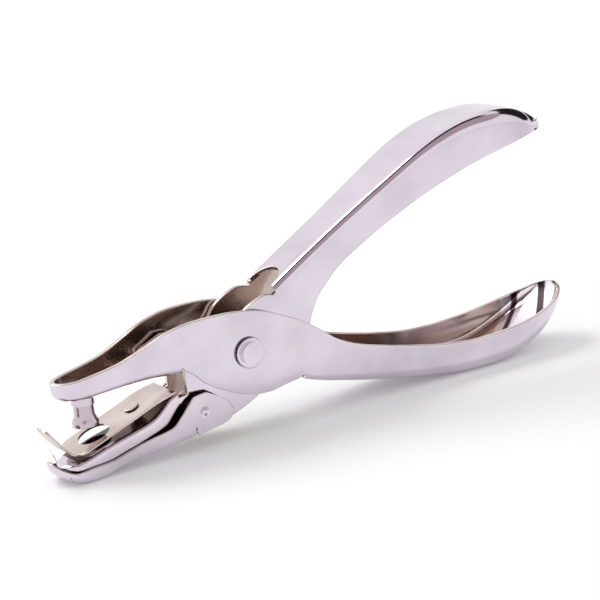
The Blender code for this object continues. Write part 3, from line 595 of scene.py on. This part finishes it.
def notched(handle, lever, start):
    # The web's front edge is drawn back in a half ellipse, which fades out along the handle
    half = lever["width"] / 2 - lever["handleBend"]
    web = handle[:, lever["handleRows"]["wall"] + lever["handleRows"]["bend"]:]
    fade = np.clip(1 - (web[..., 0] - start) / lever["notchFade"], 0, 1) ** 2
    bow = np.sqrt(np.clip(1 - (web[..., 1] / half) ** 2, 0, 1))
    web[..., 0] += lever["notchDepth"] * bow * fade
    web[..., 2] = upperWeb(web[..., 0])


# Turned pieces

def softCorners(profile, radius, steps=4):
    # Each corner becomes a quadratic curve between points a little way along both its sides
    points = [np.array(p, dtype=float) for p in profile]
    made = [points[0]]
    for before, corner, after in zip(points, points[1:], points[2:]):
        back, on = before - corner, after - corner
        reach = min(radius, 0.45 * np.linalg.norm(back), 0.45 * np.linalg.norm(on))
        a = corner + back / np.linalg.norm(back) * reach
        b = corner + on / np.linalg.norm(on) * reach
        for t in np.linspace(0, 1, steps + 1):
            made.append((1 - t) ** 2 * a + 2 * t * (1 - t) * corner + t * t * b)
    return np.array(made + [points[-1]])


def turned(name, profile, place, finishes, segments=96):
    # A (radius, height) profile, top to bottom, carried round its own Z
    angle = np.linspace(0, 2 * np.pi, segments + 1)[:, None]
    radius, height = np.asarray(profile)[None, :, 0], np.asarray(profile)[None, :, 1]
    grid = np.stack([radius * np.cos(angle), radius * np.sin(angle), height + 0 * angle], axis=2)
    turn = np.array(place)
    grid = grid @ turn[:3, :3].T + turn[:3, 3]
    piece = newPiece(name, surfaceMesh(name, [(grid, True)]), finishes)
    return finished(piece, sharp=50)


pivotRivet = {
    "radius": 2.4 * mm, "headRadius": 3.65 * mm, "headHeight": 0.6 * mm,
    "recessRadius": 1.9 * mm, "recessDepth": 1.5 * mm, "soft": 0.2 * mm, "wallNormal": 0.6,
}


def makePivotRivet(finishes):
    rivet = pivotRivet
    top = outerLever["width"] / 2 + sheetMetal["gap"] + rivet["headHeight"]
    under = outerLever["width"] / 2 + sheetMetal["gap"]
    edge = rivet["headHeight"] / 3
    half = [
        (0.0, top - rivet["recessDepth"]),
        (rivet["recessRadius"], top - rivet["recessDepth"]),
        (rivet["recessRadius"], top - edge),
        (rivet["recessRadius"] + edge, top),
        (rivet["headRadius"] - edge, top),
        (rivet["headRadius"], top - edge),
        (rivet["headRadius"], under),
        (rivet["radius"], under),
    ]
    profile = half + [(r, -z) for r, z in reversed(half)]
    piece = turned("pivot_rivet_turned", softCorners(profile, rivet["soft"]), alongY(), finishes)
    # Painted shade: the recess walls and the head's rim take the dark shade finish
    for face in piece.data.polygons:
        face.material_index = 1 if abs(face.normal.y) < rivet["wallNormal"] else 0
    return piece


def makePivotSleeve(finishes):
    inside = pivotRivet["radius"] + sheetMetal["gap"]
    outside = inside + returnSpring["sleeveWall"]
    half = innerLever["width"] / 2 - sheetMetal["lever"] - sheetMetal["gap"]
    profile = [(inside, 0), (inside, half), (outside, half), (outside, -half), (inside, -half), (inside, 0)]
    return turned("pivot_sleeve_turned", softCorners(profile, 0.15 * mm), alongY(), finishes)


punchPin = {
    "reach": 39.2 * mm, "radius": 2.35 * mm, "edgeRadius": 3.15 * mm, "length": 7.0 * mm,
    "flare": 3.0 * mm, "land": 0.9 * mm, "tailRadius": 3.3 * mm, "tailHeight": 0.7 * mm, "soft": 0.12 * mm,
    "dieClearance": 0.5 * mm,
}


def makePunchPin(finishes):
    pin = punchPin
    web = float(jawWeb(-pin["reach"]))
    tail = sheetMetal["lever"] + sheetMetal["gap"]
    bevel = pin["tailHeight"] / 2
    flare = curveThrough([(0.0, pin["radius"]), (0.45, pin["radius"] * 1.03), (1.0, pin["edgeRadius"])])
    flareLow = pin["land"] - pin["length"]
    upper = [
        (0.0, tail + pin["tailHeight"]),
        (pin["tailRadius"] - bevel, tail + pin["tailHeight"]),
        (pin["tailRadius"], tail + bevel),
        (pin["tailRadius"], tail),
        (pin["radius"], tail),
    ]
    neck = [(float(flare(t)), flareLow + pin["flare"] * (1 - t)) for t in np.linspace(0, 1, 12)]
    profile = upper + neck + [(pin["edgeRadius"], -pin["length"]), (0.0, -pin["length"])]
    place = Matrix.Translation((-pin["reach"], 0.0, web))
    return turned("punch_pin_turned", softCorners(profile, pin["soft"], 3), place, finishes)


# Stripper strip and its rivet

stripperStrip = {
    "width": 11.2 * mm, "lift": 1.4 * mm, "front": 44.2 * mm, "end": 22.8 * mm, "tailLift": 2.5 * mm,
    "tail": 4.3 * mm, "tailWidthShare": 0.95,
    "tongueReach": 50.6 * mm, "tongueWidth": 7.2 * mm, "tongueRise": 7.0 * mm, "holeRadius": 3.95 * mm,
    "tongueShares": ((1.0, 0.32), (0.97, 0.62), (0.88, 0.86), (0.70, 1.0), (0.40, 0.96), (0.15, 0.90)),
    "frontShares": ((1.0, 0.62), (0.985, 0.90), (0.95, 1.0), (0.85, 1.0), (0.7, 1.0)),
}
stripRivet = {"reach": 27.5 * mm, "radius": 1.0 * mm, "headRadius": 1.9 * mm, "headHeight": 0.2 * mm}


def stripTop(x):
    # A straight line from the strip's front to its rear end
    strip = stripperStrip
    front = float(lowerJawWeb(-strip["front"])) + strip["lift"] + sheetMetal["strip"]
    rear = float(lowerJawWeb(-strip["end"])) + strip["tailLift"] + sheetMetal["strip"]
    return front + (rear - front) * (x + strip["front"]) / (strip["front"] - strip["end"])


def stripSlope():
    strip = stripperStrip
    return math.atan2(stripTop(-strip["end"]) - stripTop(-strip["front"]), strip["front"] - strip["end"])


def stripRivetPlace():
    x = -stripRivet["reach"]
    return Matrix.Translation((x, 0.0, stripTop(x))) @ Matrix.Rotation(-stripSlope(), 4, "Y")


def makeStripperStrip(finishes):
    strip = stripperStrip
    half, tongue = strip["width"] / 2, strip["tongueWidth"] / 2
    reach = strip["tongueReach"] - sheetMetal["strip"] - strip["front"]
    path = []
    for share, width in strip["tongueShares"]:
        height = stripTop(-strip["front"]) + strip["tongueRise"] * share ** 1.3
        path.append([(-strip["front"] - reach * share, tongue * width, height)])
    for share, width in strip["frontShares"]:
        path.append([(-strip["front"] * share, half * width, stripTop(-strip["front"] * share))])
    path.append([(-strip["end"], half, stripTop(-strip["end"]))])
    rear = strip["tail"] - strip["end"]
    rearTop = float(lowerJawWeb(rear)) + sheetMetal["gap"] + sheetMetal["strip"]
    path.append([(rear, half * strip["tailWidthShare"], rearTop)])
    line = densified(path, 10)[:, 0]
    across = np.concatenate([[-1.0], np.linspace(-0.94, 0.94, 19), [1.0]])[None, :]
    grid = np.stack([
        line[:, :1] + 0 * across, line[:, 1:2] * across, line[:, 2:] + 0 * across,
    ], axis=2)
    piece = newPiece("stripper_strip_sprung", surfaceMesh("strip", [(grid, False)]), finishes)
    thicken(piece, sheetMetal["strip"], sheetMetal["rolledThinEdge"])
    tools = [
        bored(piece, strip["holeRadius"], 8 * mm, dieMatrix(), 96),
        bored(piece, stripRivet["radius"] + sheetMetal["gap"], 4 * mm, stripRivetPlace()),
    ]
    return finished(piece, tools)


def makeStripRivet(finishes):
    rivet, gap = stripRivet, sheetMetal["gap"]
    head, strip = rivet["headHeight"], sheetMetal["strip"]
    x = -rivet["reach"]
    web = (float(lowerJawWeb(x)) - stripTop(x)) * math.cos(stripSlope())
    profile = [
        (0.0, gap + head),
        (rivet["headRadius"] - head / 2, gap + head),
        (rivet["headRadius"], gap + head / 2),
        (rivet["headRadius"], gap),
        (rivet["radius"], gap),
        (rivet["radius"], -strip - gap),
        (rivet["headRadius"], -strip - gap),
        (rivet["headRadius"], web + 2 * gap),
        (rivet["radius"], web + 2 * gap),
        (rivet["radius"], web - sheetMetal["lever"] - gap),
        (0.0, web - sheetMetal["lever"] - gap),
    ]
    piece = turned("strip_rivet_turned", softCorners(profile, 0.1 * mm), stripRivetPlace(), finishes, 64)
    # Painted shade: the rivet's faces under the strip take the dark shade finish
    underStrip = stripTop(x) - strip + pivotAt[2]
    for face in piece.data.polygons:
        face.material_index = 1 if face.center.z < underStrip else 0
    return piece


# Chip catcher: a thin channel under the lower jaw, with ears that hold it on two dimples

chipCatcher = {
    "reach": 49.6 * mm, "noseDepth": 6.6 * mm, "bend": 1.4 * mm,
    "axisReach": 12.9 * mm, "axisDrop": 11.0 * mm,
    "dimpleRadius": 1.1 * mm, "dimpleFlat": 0.5 * mm, "dimpleDepth": 0.6 * mm,
    "rows": {"wall": 30, "bend": 8, "web": 12},
    "taperShares": ((1.0, 0.0), (0.605, 0.0), (0.353, 1.0), (0.10, 1.0)),
    "rimShares": (
        (1.00, 0.741), (0.986, 0.776), (0.964, 0.816), (0.917, 0.861), (0.845, 0.841),
        (0.746, 0.826), (0.641, 0.766), (0.538, 0.706), (0.427, 0.637), (0.375, 0.522),
        (0.339, 0.428), (0.312, 0.358),
    ),
    "floorShares": (
        (1.00, 0.816), (0.992, 0.861), (0.964, 0.925), (0.915, 0.980), (0.857, 1.00),
        (0.806, 1.00), (0.754, 0.98), (0.702, 0.945), (0.601, 0.91), (0.498, 0.886),
        (0.393, 0.836), (0.312, 0.806),
    ),
    "earShares": (
        (0.306, 0.352, 0.805), (0.298, 0.343, 0.80), (0.246, 0.328, 0.775), (0.216, 0.358, 0.765),
        (0.165, 0.438, 0.745), (0.135, 0.493, 0.715), (0.112, 0.60, 0.655),
    ),
}


def catcherHinge():
    return alongY(-chipCatcher["axisReach"], -chipCatcher["axisDrop"])


def catcherHalfFull(x):
    # Half the catcher's width before its nose is rounded: as wide as the plates at its ears
    lever, reach = innerLever, chipCatcher["reach"]
    full, jaw = lever["width"] / 2, lever["jawWidth"] / 2
    taper = curveThrough([(-s * reach, jaw + w * (full - jaw)) for s, w in chipCatcher["taperShares"]])
    return taper(x) + sheetMetal["gap"] + sheetMetal["catcher"]


def dimpled(grid, side):
    # Presses the sheet inward round the hinge, flat in the middle and eased out to the dimple's rim
    catcher = chipCatcher
    away = np.hypot(grid[..., 0] + catcher["axisReach"], grid[..., 2] + catcher["axisDrop"])
    t = np.clip((away - catcher["dimpleFlat"]) / (catcher["dimpleRadius"] - catcher["dimpleFlat"]), 0, 1)
    pressed = grid.copy()
    pressed[..., 1] -= side * catcher["dimpleDepth"] * (1 - t * t * (3 - 2 * t))
    return pressed


def makeChipCatcher(finishes):
    catcher = chipCatcher
    tip = -catcher["reach"]
    rim = outline(catcher["rimShares"], tip, -pivotAt[2])
    floor = outline(catcher["floorShares"], tip, -pivotAt[2])
    start = catcher["floorShares"][-1][0] * tip

    def half(x):
        return catcherHalfFull(x) * roundEnd(x, tip, catcher["noseDepth"], 2.0)

    along = endStations(start, tip, catcher["noseDepth"], 2.0, 70, 40)
    body = channel(
        along, half, eased(floor, 1 * mm), along, rim(along), lambda x: np.full(len(x), catcher["bend"]),
        1, tip + catcher["noseDepth"], catcher["rows"],
    )
    rows = catcher["rows"]["wall"] + 1
    columns = [body[0, :rows][:, [0, 2]]]
    for share, top, low in catcher["earShares"]:
        shares = bothEdgesShares((low - top) * pivotAt[2], rows)
        heights = -pivotAt[2] * (top + (low - top) * shares)
        columns.append(np.stack([np.full(rows, share * tip), heights], axis=1))
    ear = densified(columns, 12)
    near = np.stack([ear[..., 0], -catcherHalfFull(ear[..., 0]), ear[..., 1]], axis=-1)
    far = near * np.array([1.0, -1.0, 1.0])
    ears = [(dimpled(near, -1), True), (dimpled(far, 1), False)]
    mesh = surfaceMesh("chipCatcher", [(body, False)] + ears)
    piece = newPiece("chip_catcher_pressed", mesh, finishes)
    thicken(piece, sheetMetal["catcher"], sheetMetal["rolledThinEdge"])
    return finished(piece)


# Return spring: a coil round the sleeve, with a leg under each handle's web

returnSpring = {
    "wire": 1.3 * mm, "sleeveWall": 0.6 * mm, "turns": 4, "pitch": 1.9 * mm, "legReach": 25.0 * mm,
    "legLift": 1.15, "legDrop": 1.05, "turnPoints": 48, "sides": 16,
}


def legStart(end, radius, side):
    # The angle on the coil where a straight leg leaves it
    return math.atan2(end[1], end[0]) + side * math.acos(radius / math.hypot(*end))


def makeReturnSpring(finishes):
    spring = returnSpring
    radius = pivotRivet["radius"] + 2 * sheetMetal["gap"] + spring["sleeveWall"] + spring["wire"] / 2
    clear = sheetMetal["lever"] + 2 * sheetMetal["gap"] + spring["wire"] / 2
    reach = spring["legReach"]
    upperEnd = (reach, float(upperWeb(reach)) - clear * spring["legLift"])
    lowerEnd = (reach, float(handleWeb(reach)) + clear * spring["legDrop"])
    first = legStart(upperEnd, radius, 1)
    last = legStart(lowerEnd, radius, -1) + 2 * math.pi * (spring["turns"] + 1)
    curls = (last - first) / (2 * math.pi)
    angle = np.linspace(first, last, round(curls * spring["turnPoints"]))
    y = np.linspace(-0.5, 0.5, len(angle)) * curls * spring["pitch"]
    coil = np.stack([radius * np.cos(angle), y, radius * np.sin(angle)], axis=1)
    t = np.linspace(0, 1, 12, endpoint=False)[:, None]
    start = np.array([upperEnd[0], y[0], upperEnd[1]])
    end = np.array([lowerEnd[0], y[-1], lowerEnd[1]])
    path = np.concatenate([start + (coil[0] - start) * t, coil, end + (coil[-1] - end) * t[::-1]])
    mesh = surfaceMesh("spring", [(tube(path, spring["wire"] / 2, spring["sides"]), True)])
    return finished(newPiece("return_spring_wound", mesh, finishes), sharp=60)


def tube(path, radius, sides):
    # A circle carried square to the path, shrunk to a point at both ends
    along = np.gradient(path, axis=0)
    along = along / np.linalg.norm(along, axis=1)[:, None]
    aside = np.array([0.0, 1.0, 0.0]) - along * along[:, 1:2]
    aside = aside / np.linalg.norm(aside, axis=1)[:, None]
    over = np.cross(along, aside)
    path = np.concatenate([path[:1], path, path[-1:]])
    aside = np.concatenate([aside[:1], aside, aside[-1:]])
    over = np.concatenate([over[:1], over, over[-1:]])
    size = np.full(len(path), radius)
    size[[0, -1]] = 0.0
    angle = np.linspace(0, 2 * np.pi, sides + 1)[None, :, None]
    ring = aside[:, None] * np.cos(angle) + over[:, None] * np.sin(angle)
    return path[:, None] + ring * size[:, None, None]


# Shader maths: an expression on sockets adds the nodes that it needs

class Shade:
    def __init__(self, tree, socket):
        self.tree, self.socket = tree, socket

    def math(self, operation, *values):
        made = self.tree.node("ShaderNodeMath", {"operation": operation}, dict(enumerate(values)))
        return Shade(self.tree, made.outputs[0])

    def __add__(self, other):
        return self.math("ADD", self, other)

    def __sub__(self, other):
        return self.math("SUBTRACT", self, other)

    def __rsub__(self, other):
        return self.math("SUBTRACT", other, self)

    def __mul__(self, other):
        return self.math("MULTIPLY", self, other)

    __radd__ = __add__
    __rmul__ = __mul__


class Tree:
    def __init__(self, owner):
        owner.use_nodes = True
        self.nodes, self.links = owner.node_tree.nodes, owner.node_tree.links
        self.nodes.clear()

    def node(self, kind, settings=None, inputs=None):
        made = self.nodes.new(kind)
        for name, value in (settings or {}).items():
            if name == "stops":
                self.setStops(made.color_ramp, value)
            else:
                setattr(made, name, value)
        for name, value in (inputs or {}).items():
            if isinstance(value, Shade):
                self.links.new(value.socket, made.inputs[name])
            elif isinstance(value, bpy.types.NodeSocket):
                self.links.new(value, made.inputs[name])
            else:
                made.inputs[name].default_value = value
        return made

    def setStops(self, ramp, stops):
        while len(ramp.elements) < len(stops):
            ramp.elements.new(0.5)
        for element, (place, value) in zip(ramp.elements, stops):
            element.position = place
            element.color = value if isinstance(value, tuple) else (value, value, value, 1.0)

    def noise(self, scale, detail=2.0, stretch=(1, 1, 1), roughness=0.5):
        at = self.node("ShaderNodeTexCoord").outputs["Object"]
        place = self.node("ShaderNodeMapping", None, {"Vector": at, "Scale": stretch})
        inputs = {"Vector": place.outputs[0], "Scale": scale, "Detail": detail, "Roughness": roughness}
        return Shade(self, self.node("ShaderNodeTexNoise", None, inputs).outputs["Fac"])

    def ramp(self, value, stops):
        made = self.node("ShaderNodeValToRGB", {"stops": stops}, {"Fac": value})
        return Shade(self, made.outputs["Color"])

    def mixed(self, share, one, two):
        made = self.node("ShaderNodeMix", {"data_type": "RGBA"}, {0: share, 6: one, 7: two})
        return Shade(self, made.outputs[2])

    def bump(self, height, strength, distance):
        inputs = {"Height": height, "Strength": strength, "Distance": distance}
        return Shade(self, self.node("ShaderNodeBump", None, inputs).outputs[0])

    def out(self, shader):
        target = "ShaderNodeOutputWorld" if isinstance(shader, tuple) else "ShaderNodeOutputMaterial"
        shader = shader[0] if isinstance(shader, tuple) else shader
        self.links.new(shader.outputs[0], self.node(target).inputs["Surface"])


def srgb(red, green, blue):
    # A screen colour from 0 to 255 as the linear values that a shader takes
    share = [c / 255 for c in (red, green, blue)]
    return tuple(c / 12.92 if c <= 0.04045 else ((c + 0.055) / 1.055) ** 2.4 for c in share) + (1.0,)


# Metals

metals = {
    "plated": {"bright": srgb(226, 217, 228), "dull": srgb(211, 200, 213), "smooth": 0.06, "rough": 0.13},
    # inside: a darker, browner plate for the inner faces, which paints the shade and dark reflections of the
    # hollows
    "inside": {"bright": srgb(205, 189, 181), "dull": srgb(172, 153, 144), "smooth": 0.12, "rough": 0.24},
    "strip": {"bright": srgb(222, 208, 204), "dull": srgb(184, 166, 158), "smooth": 0.07, "rough": 0.16},
    # paintedShade: dark brown plate that paints shade where it falls, under the strip, in the catcher's
    # channel and on the rivets' walls
    "paintedShade": {"bright": srgb(112, 96, 92), "dull": srgb(74, 60, 56), "smooth": 0.25, "rough": 0.4},
    "sheared": {"bright": srgb(226, 213, 208), "dull": srgb(186, 168, 158), "smooth": 0.16, "rough": 0.30},
    "hardened": {"bright": srgb(222, 212, 218), "dull": srgb(196, 184, 190), "smooth": 0.07, "rough": 0.16},
    "spring": {"bright": srgb(160, 152, 156), "dull": srgb(118, 110, 112), "smooth": 0.22, "rough": 0.34},
}


def metal(name, finish, ripple=0.10, grain=0.04, stretch=(1, 1, 1), tint=None):
    # Polished plating: faint clouds in its colour, a softer sheen in patches, ripples from the polishing
    # wheel, fine scratches along the piece and a few pinpricks
    made = bpy.data.materials.new(name)
    tree = Tree(made)
    clouds = tree.noise(90.0, 3.0)
    handled = tree.noise(42.0, 4.0, roughness=0.6)
    scratches = tree.noise(900.0, 2.0, stretch)
    pricks = tree.ramp(tree.noise(2600.0, 1.0), ((0.0, 1.0), (0.24, 1.0), (0.29, 0.0)))
    wear = tree.ramp(handled, ((0.40, 0.0), (0.72, 1.0)))
    colour = tree.mixed(tree.ramp(clouds, ((0.35, 0.0), (0.75, 1.0))), finish["bright"], finish["dull"])
    colour = tree.mixed(pricks * 0.18, colour, srgb(120, 108, 104))
    # A tint may paint light and shade onto the colour, as the spoon's painted reflections do
    if tint:
        colour = tint(tree, colour)
    rough = finish["smooth"] + wear * (finish["rough"] - finish["smooth"]) + scratches * 0.03
    waves = tree.bump(tree.noise(260.0, 2.0), ripple, 0.00012)
    fine = tree.node("ShaderNodeBump", None, {
        "Height": scratches - pricks * 0.6, "Strength": grain, "Distance": 0.00004, "Normal": waves,
    })
    shader = tree.node("ShaderNodeBsdfPrincipled", None, {
        "Base Color": colour, "Metallic": 1.0, "Roughness": rough, "Normal": fine.outputs[0],
    })
    tree.out(shader)
    return made


# Painted reflections in the spoon: where its bright, dark brown and black bands lie, and their colours
paintedSpoonReflectionBands = {
    "wideSkew": 1.45, "tipSkew": 0.93, "from": 60.0 * mm, "to": 100.0 * mm,
    "wide": (
        (69.0, 0.0), (70.0, 1.0), (73.0, 1.0), (73.8, 0.0), (75.4, 0.0), (76.2, 1.0), (100.0, 1.0),
    ),
    "dark": ((73.0, 0.0), (73.8, 1.0), (75.4, 1.0), (76.2, 0.0)),
    "tip": ((86.4, 0.0), (87.0, 1.0), (89.2, 1.0), (90.2, 0.0)),
    "bright": srgb(238, 230, 240), "brown": srgb(74, 54, 58), "black": srgb(44, 34, 36),
}


def paintedSpoonReflections(tree, colour):
    # Painted reflections in the lower handle's spoon: slanted bands, bright, dark brown, bright, then black
    # near the tip, stand in for what the hollow mirrors.
    # Their places are in millimetres behind the pivot on the middle line
    bands = paintedSpoonReflectionBands
    at = tree.node("ShaderNodeTexCoord").outputs["Object"]
    split = tree.node("ShaderNodeSeparateXYZ", None, {0: at})
    x, y = Shade(tree, split.outputs[0]) - float(pivotAt[0]), Shade(tree, split.outputs[1])
    reach = bands["to"] - bands["from"]

    def share(skew, stops):
        place = (x - y * skew - bands["from"]) * (1 / reach)
        return tree.ramp(place, [((p * mm - bands["from"]) / reach, v) for p, v in stops])

    colour = tree.mixed(share(bands["wideSkew"], bands["wide"]), colour, bands["bright"])
    colour = tree.mixed(share(bands["wideSkew"], bands["dark"]), colour, bands["brown"])
    return tree.mixed(share(bands["tipSkew"], bands["tip"]), colour, bands["black"])


alongPiece = (0.12, 1.0, 1.0)
leverFinishes = [
    metal("nickel plate", metals["plated"], stretch=alongPiece),
    # The inner faces of the pressings take the darker inside plate, which is painted shade
    metal("nickel plate inside", metals["inside"], ripple=0.16, stretch=alongPiece),
    metal("nickel plate sheared edge", metals["sheared"], ripple=0.2, grain=0.1),
]
paintedSpoonReflectionsFinish = metal(
    "nickel plate inside the spoon", metals["inside"], ripple=0.06, stretch=alongPiece, tint=paintedSpoonReflections,
)
pinFinish = metal("ground and hardened steel", metals["hardened"], ripple=0.05, stretch=(1.0, 1.0, 0.15))
stripFinish = metal("nickel plate of the strip", metals["strip"], ripple=0.05, stretch=alongPiece)
# Painted shade: a dark plate for the hollows and gaps that lie in shade
paintedShadeFinish = metal("nickel plate painted with shade", metals["paintedShade"], ripple=0.1, grain=0.1)
springFinish = metal("spring steel", metals["spring"], ripple=0.1, grain=0.1)
print("metals ready")


# The object

plated, inside, sheared = leverFinishes
punchPieces = {
    "outer_lever": (makeOuterLever([plated, paintedSpoonReflectionsFinish, sheared]), "outer", "nickel_plated_steel"),
    "pivot_rivet": (makePivotRivet([plated, paintedShadeFinish]), "outer", "nickel_plated_steel"),
    "pivot_sleeve": (makePivotSleeve([springFinish]), "outer", "spring_steel"),
    "return_spring": (makeReturnSpring([springFinish]), "outer", "spring_steel"),
    "punch_pin": (makePunchPin([pinFinish]), "outer", "hardened_steel"),
    "inner_lever": (makeInnerLever(leverFinishes + [paintedShadeFinish]), "inner", "nickel_plated_steel"),
    # The strip's underside takes the darker inside plate, painted shade under the strip
    "stripper_strip": (makeStripperStrip([stripFinish, inside, sheared]), "inner", "nickel_plated_steel"),
    "strip_rivet": (makeStripRivet([stripFinish, paintedShadeFinish]), "inner", "nickel_plated_steel"),
    # The catcher's inner faces take the painted shade finish: the channel under the jaw is painted dark
    "chip_catcher": (makeChipCatcher([plated, paintedShadeFinish, sheared]), "catcher", "nickel_plated_steel"),
}
for node, (piece, body, finish) in punchPieces.items():
    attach(piece, body)
    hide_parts(node)
print("pieces ready")


# Studio: a pale floor, a plain white surround, one soft lamp, and dark boards that only gloss shows

studio = {
    "floorSize": 3.0, "floorDrop": 0.2 * mm, "floorColour": (0.90, 0.90, 0.90, 1.0), "floorGlow": 0.12,
    "surround": 1.0, "fill": 0.72,
    "lamp": {"at": (-0.35, 0.75, 0.95), "size": 0.8, "power": 7.0},
    "boards": (
        {"name": "black ceiling board", "at": (-0.15, 0.16, 0.75), "size": (1.3, 0.26), "tilt": 0.0,
         "turn": 0.0, "glow": (0.015, 0.010, 0.012, 1)},
        {"name": "grey ceiling board", "at": (0.0, -0.42, 0.75), "size": (1.6, 0.90), "tilt": 0.0,
         "turn": 0.0, "glow": (0.50, 0.40, 0.43, 1)},
        {"name": "dark right board", "at": (0.75, 0.32, 0.46), "size": (0.90, 0.62), "tilt": 90.0,
         "turn": -90.0, "glow": (0.02, 0.014, 0.014, 1)},
    ),
}


def plane(name, width, depth, finish):
    mesh = bpy.data.meshes.new(name)
    corners = [(x * width / 2, y * depth / 2, 0.0) for x, y in ((-1, -1), (1, -1), (1, 1), (-1, 1))]
    mesh.from_pydata(corners, [], [(0, 1, 2, 3)])
    made = newPiece(name, mesh, [finish])
    return made


def seenDirectly(tree):
    # One for rays that show the surround as it is: the camera's, a reflection's and a pane's
    path = tree.node("ShaderNodeLightPath")
    kinds = ("Is Camera Ray", "Is Glossy Ray", "Is Transmission Ray")
    rays = [Shade(tree, path.outputs[name]) for name in kinds]
    return rays[0].math("MAXIMUM", rays[0].math("MAXIMUM", rays[0], rays[1]), rays[2])


def makeFloor():
    finish = bpy.data.materials.new("pale floor")
    tree = Tree(finish)
    matt = tree.node("ShaderNodeBsdfDiffuse", None, {"Color": studio["floorColour"]})
    glow = tree.node("ShaderNodeEmission", None, {"Strength": seenDirectly(tree) * studio["floorGlow"]})
    both = tree.node("ShaderNodeAddShader", None, {0: matt.outputs[0], 1: glow.outputs[0]})
    tree.out(both)
    floor = plane("floor", studio["floorSize"], studio["floorSize"], finish)
    floor.location.z = -studio["floorDrop"]


def makeBoard(board):
    finish = bpy.data.materials.new(board["name"])
    tree = Tree(finish)
    tree.out(tree.node("ShaderNodeEmission", None, {"Color": board["glow"], "Strength": 1.0}))
    made = plane(board["name"].replace(" ", "_"), *board["size"], finish)
    made.location = board["at"]
    made.rotation_euler = (math.radians(board["tilt"]), 0.0, math.radians(board["turn"]))
    made.visible_camera = False
    made.visible_diffuse = False
    made.visible_shadow = False
    made.visible_transmission = False


def makeWorld():
    world = bpy.data.worlds.new("white surround")
    bpy.context.scene.world = world
    tree = Tree(world)
    strength = studio["fill"] + seenDirectly(tree) * (studio["surround"] - studio["fill"])
    tree.out((tree.node("ShaderNodeBackground", None, {"Color": (1, 1, 1, 1), "Strength": strength}),))


def makeLamp():
    lamp = bpy.data.lights.new("soft lamp", "AREA")
    lamp.shape = "DISK"
    lamp.size = studio["lamp"]["size"]
    lamp.energy = studio["lamp"]["power"]
    made = bpy.data.objects.new("soft_lamp", lamp)
    bpy.context.scene.collection.objects.link(made)
    made.location = studio["lamp"]["at"]
    toward = Vector((0.0, 0.0, 0.03)) - made.location
    made.rotation_euler = toward.to_track_quat("-Z", "Y").to_euler()


makeFloor()
for board in studio["boards"]:
    makeBoard(board)
makeWorld()
makeLamp()
print("studio ready")


# Camera: the photograph's own, fitted to the levers' plates, the rivet and the base line

photoCamera = {
    "at": (-0.27975, -0.4902, 0.1853),
    "right": (0.84719, -0.51865, -0.11520),
    "up": (0.23723, 0.17526, 0.95551),
    "ahead": (0.47539, 0.83683, -0.27152),
    "lens": 150.0,
    "film": 36.0,
}


def makeCamera():
    lens = bpy.data.cameras.new("photo camera")
    lens.lens = photoCamera["lens"]
    lens.sensor_width = photoCamera["film"]
    lens.clip_start = 0.01
    camera = bpy.data.objects.new("photo_camera", lens)
    bpy.context.scene.collection.objects.link(camera)
    turn = np.eye(4)
    turn[:3, 0] = photoCamera["right"]
    turn[:3, 1] = photoCamera["up"]
    turn[:3, 2] = -np.array(photoCamera["ahead"])
    turn[:3, 3] = photoCamera["at"]
    camera.matrix_world = Matrix(turn.tolist())
    bpy.context.scene.camera = camera


makeCamera()
bpy.context.scene.view_settings.view_transform = "Standard"
print("camera ready")
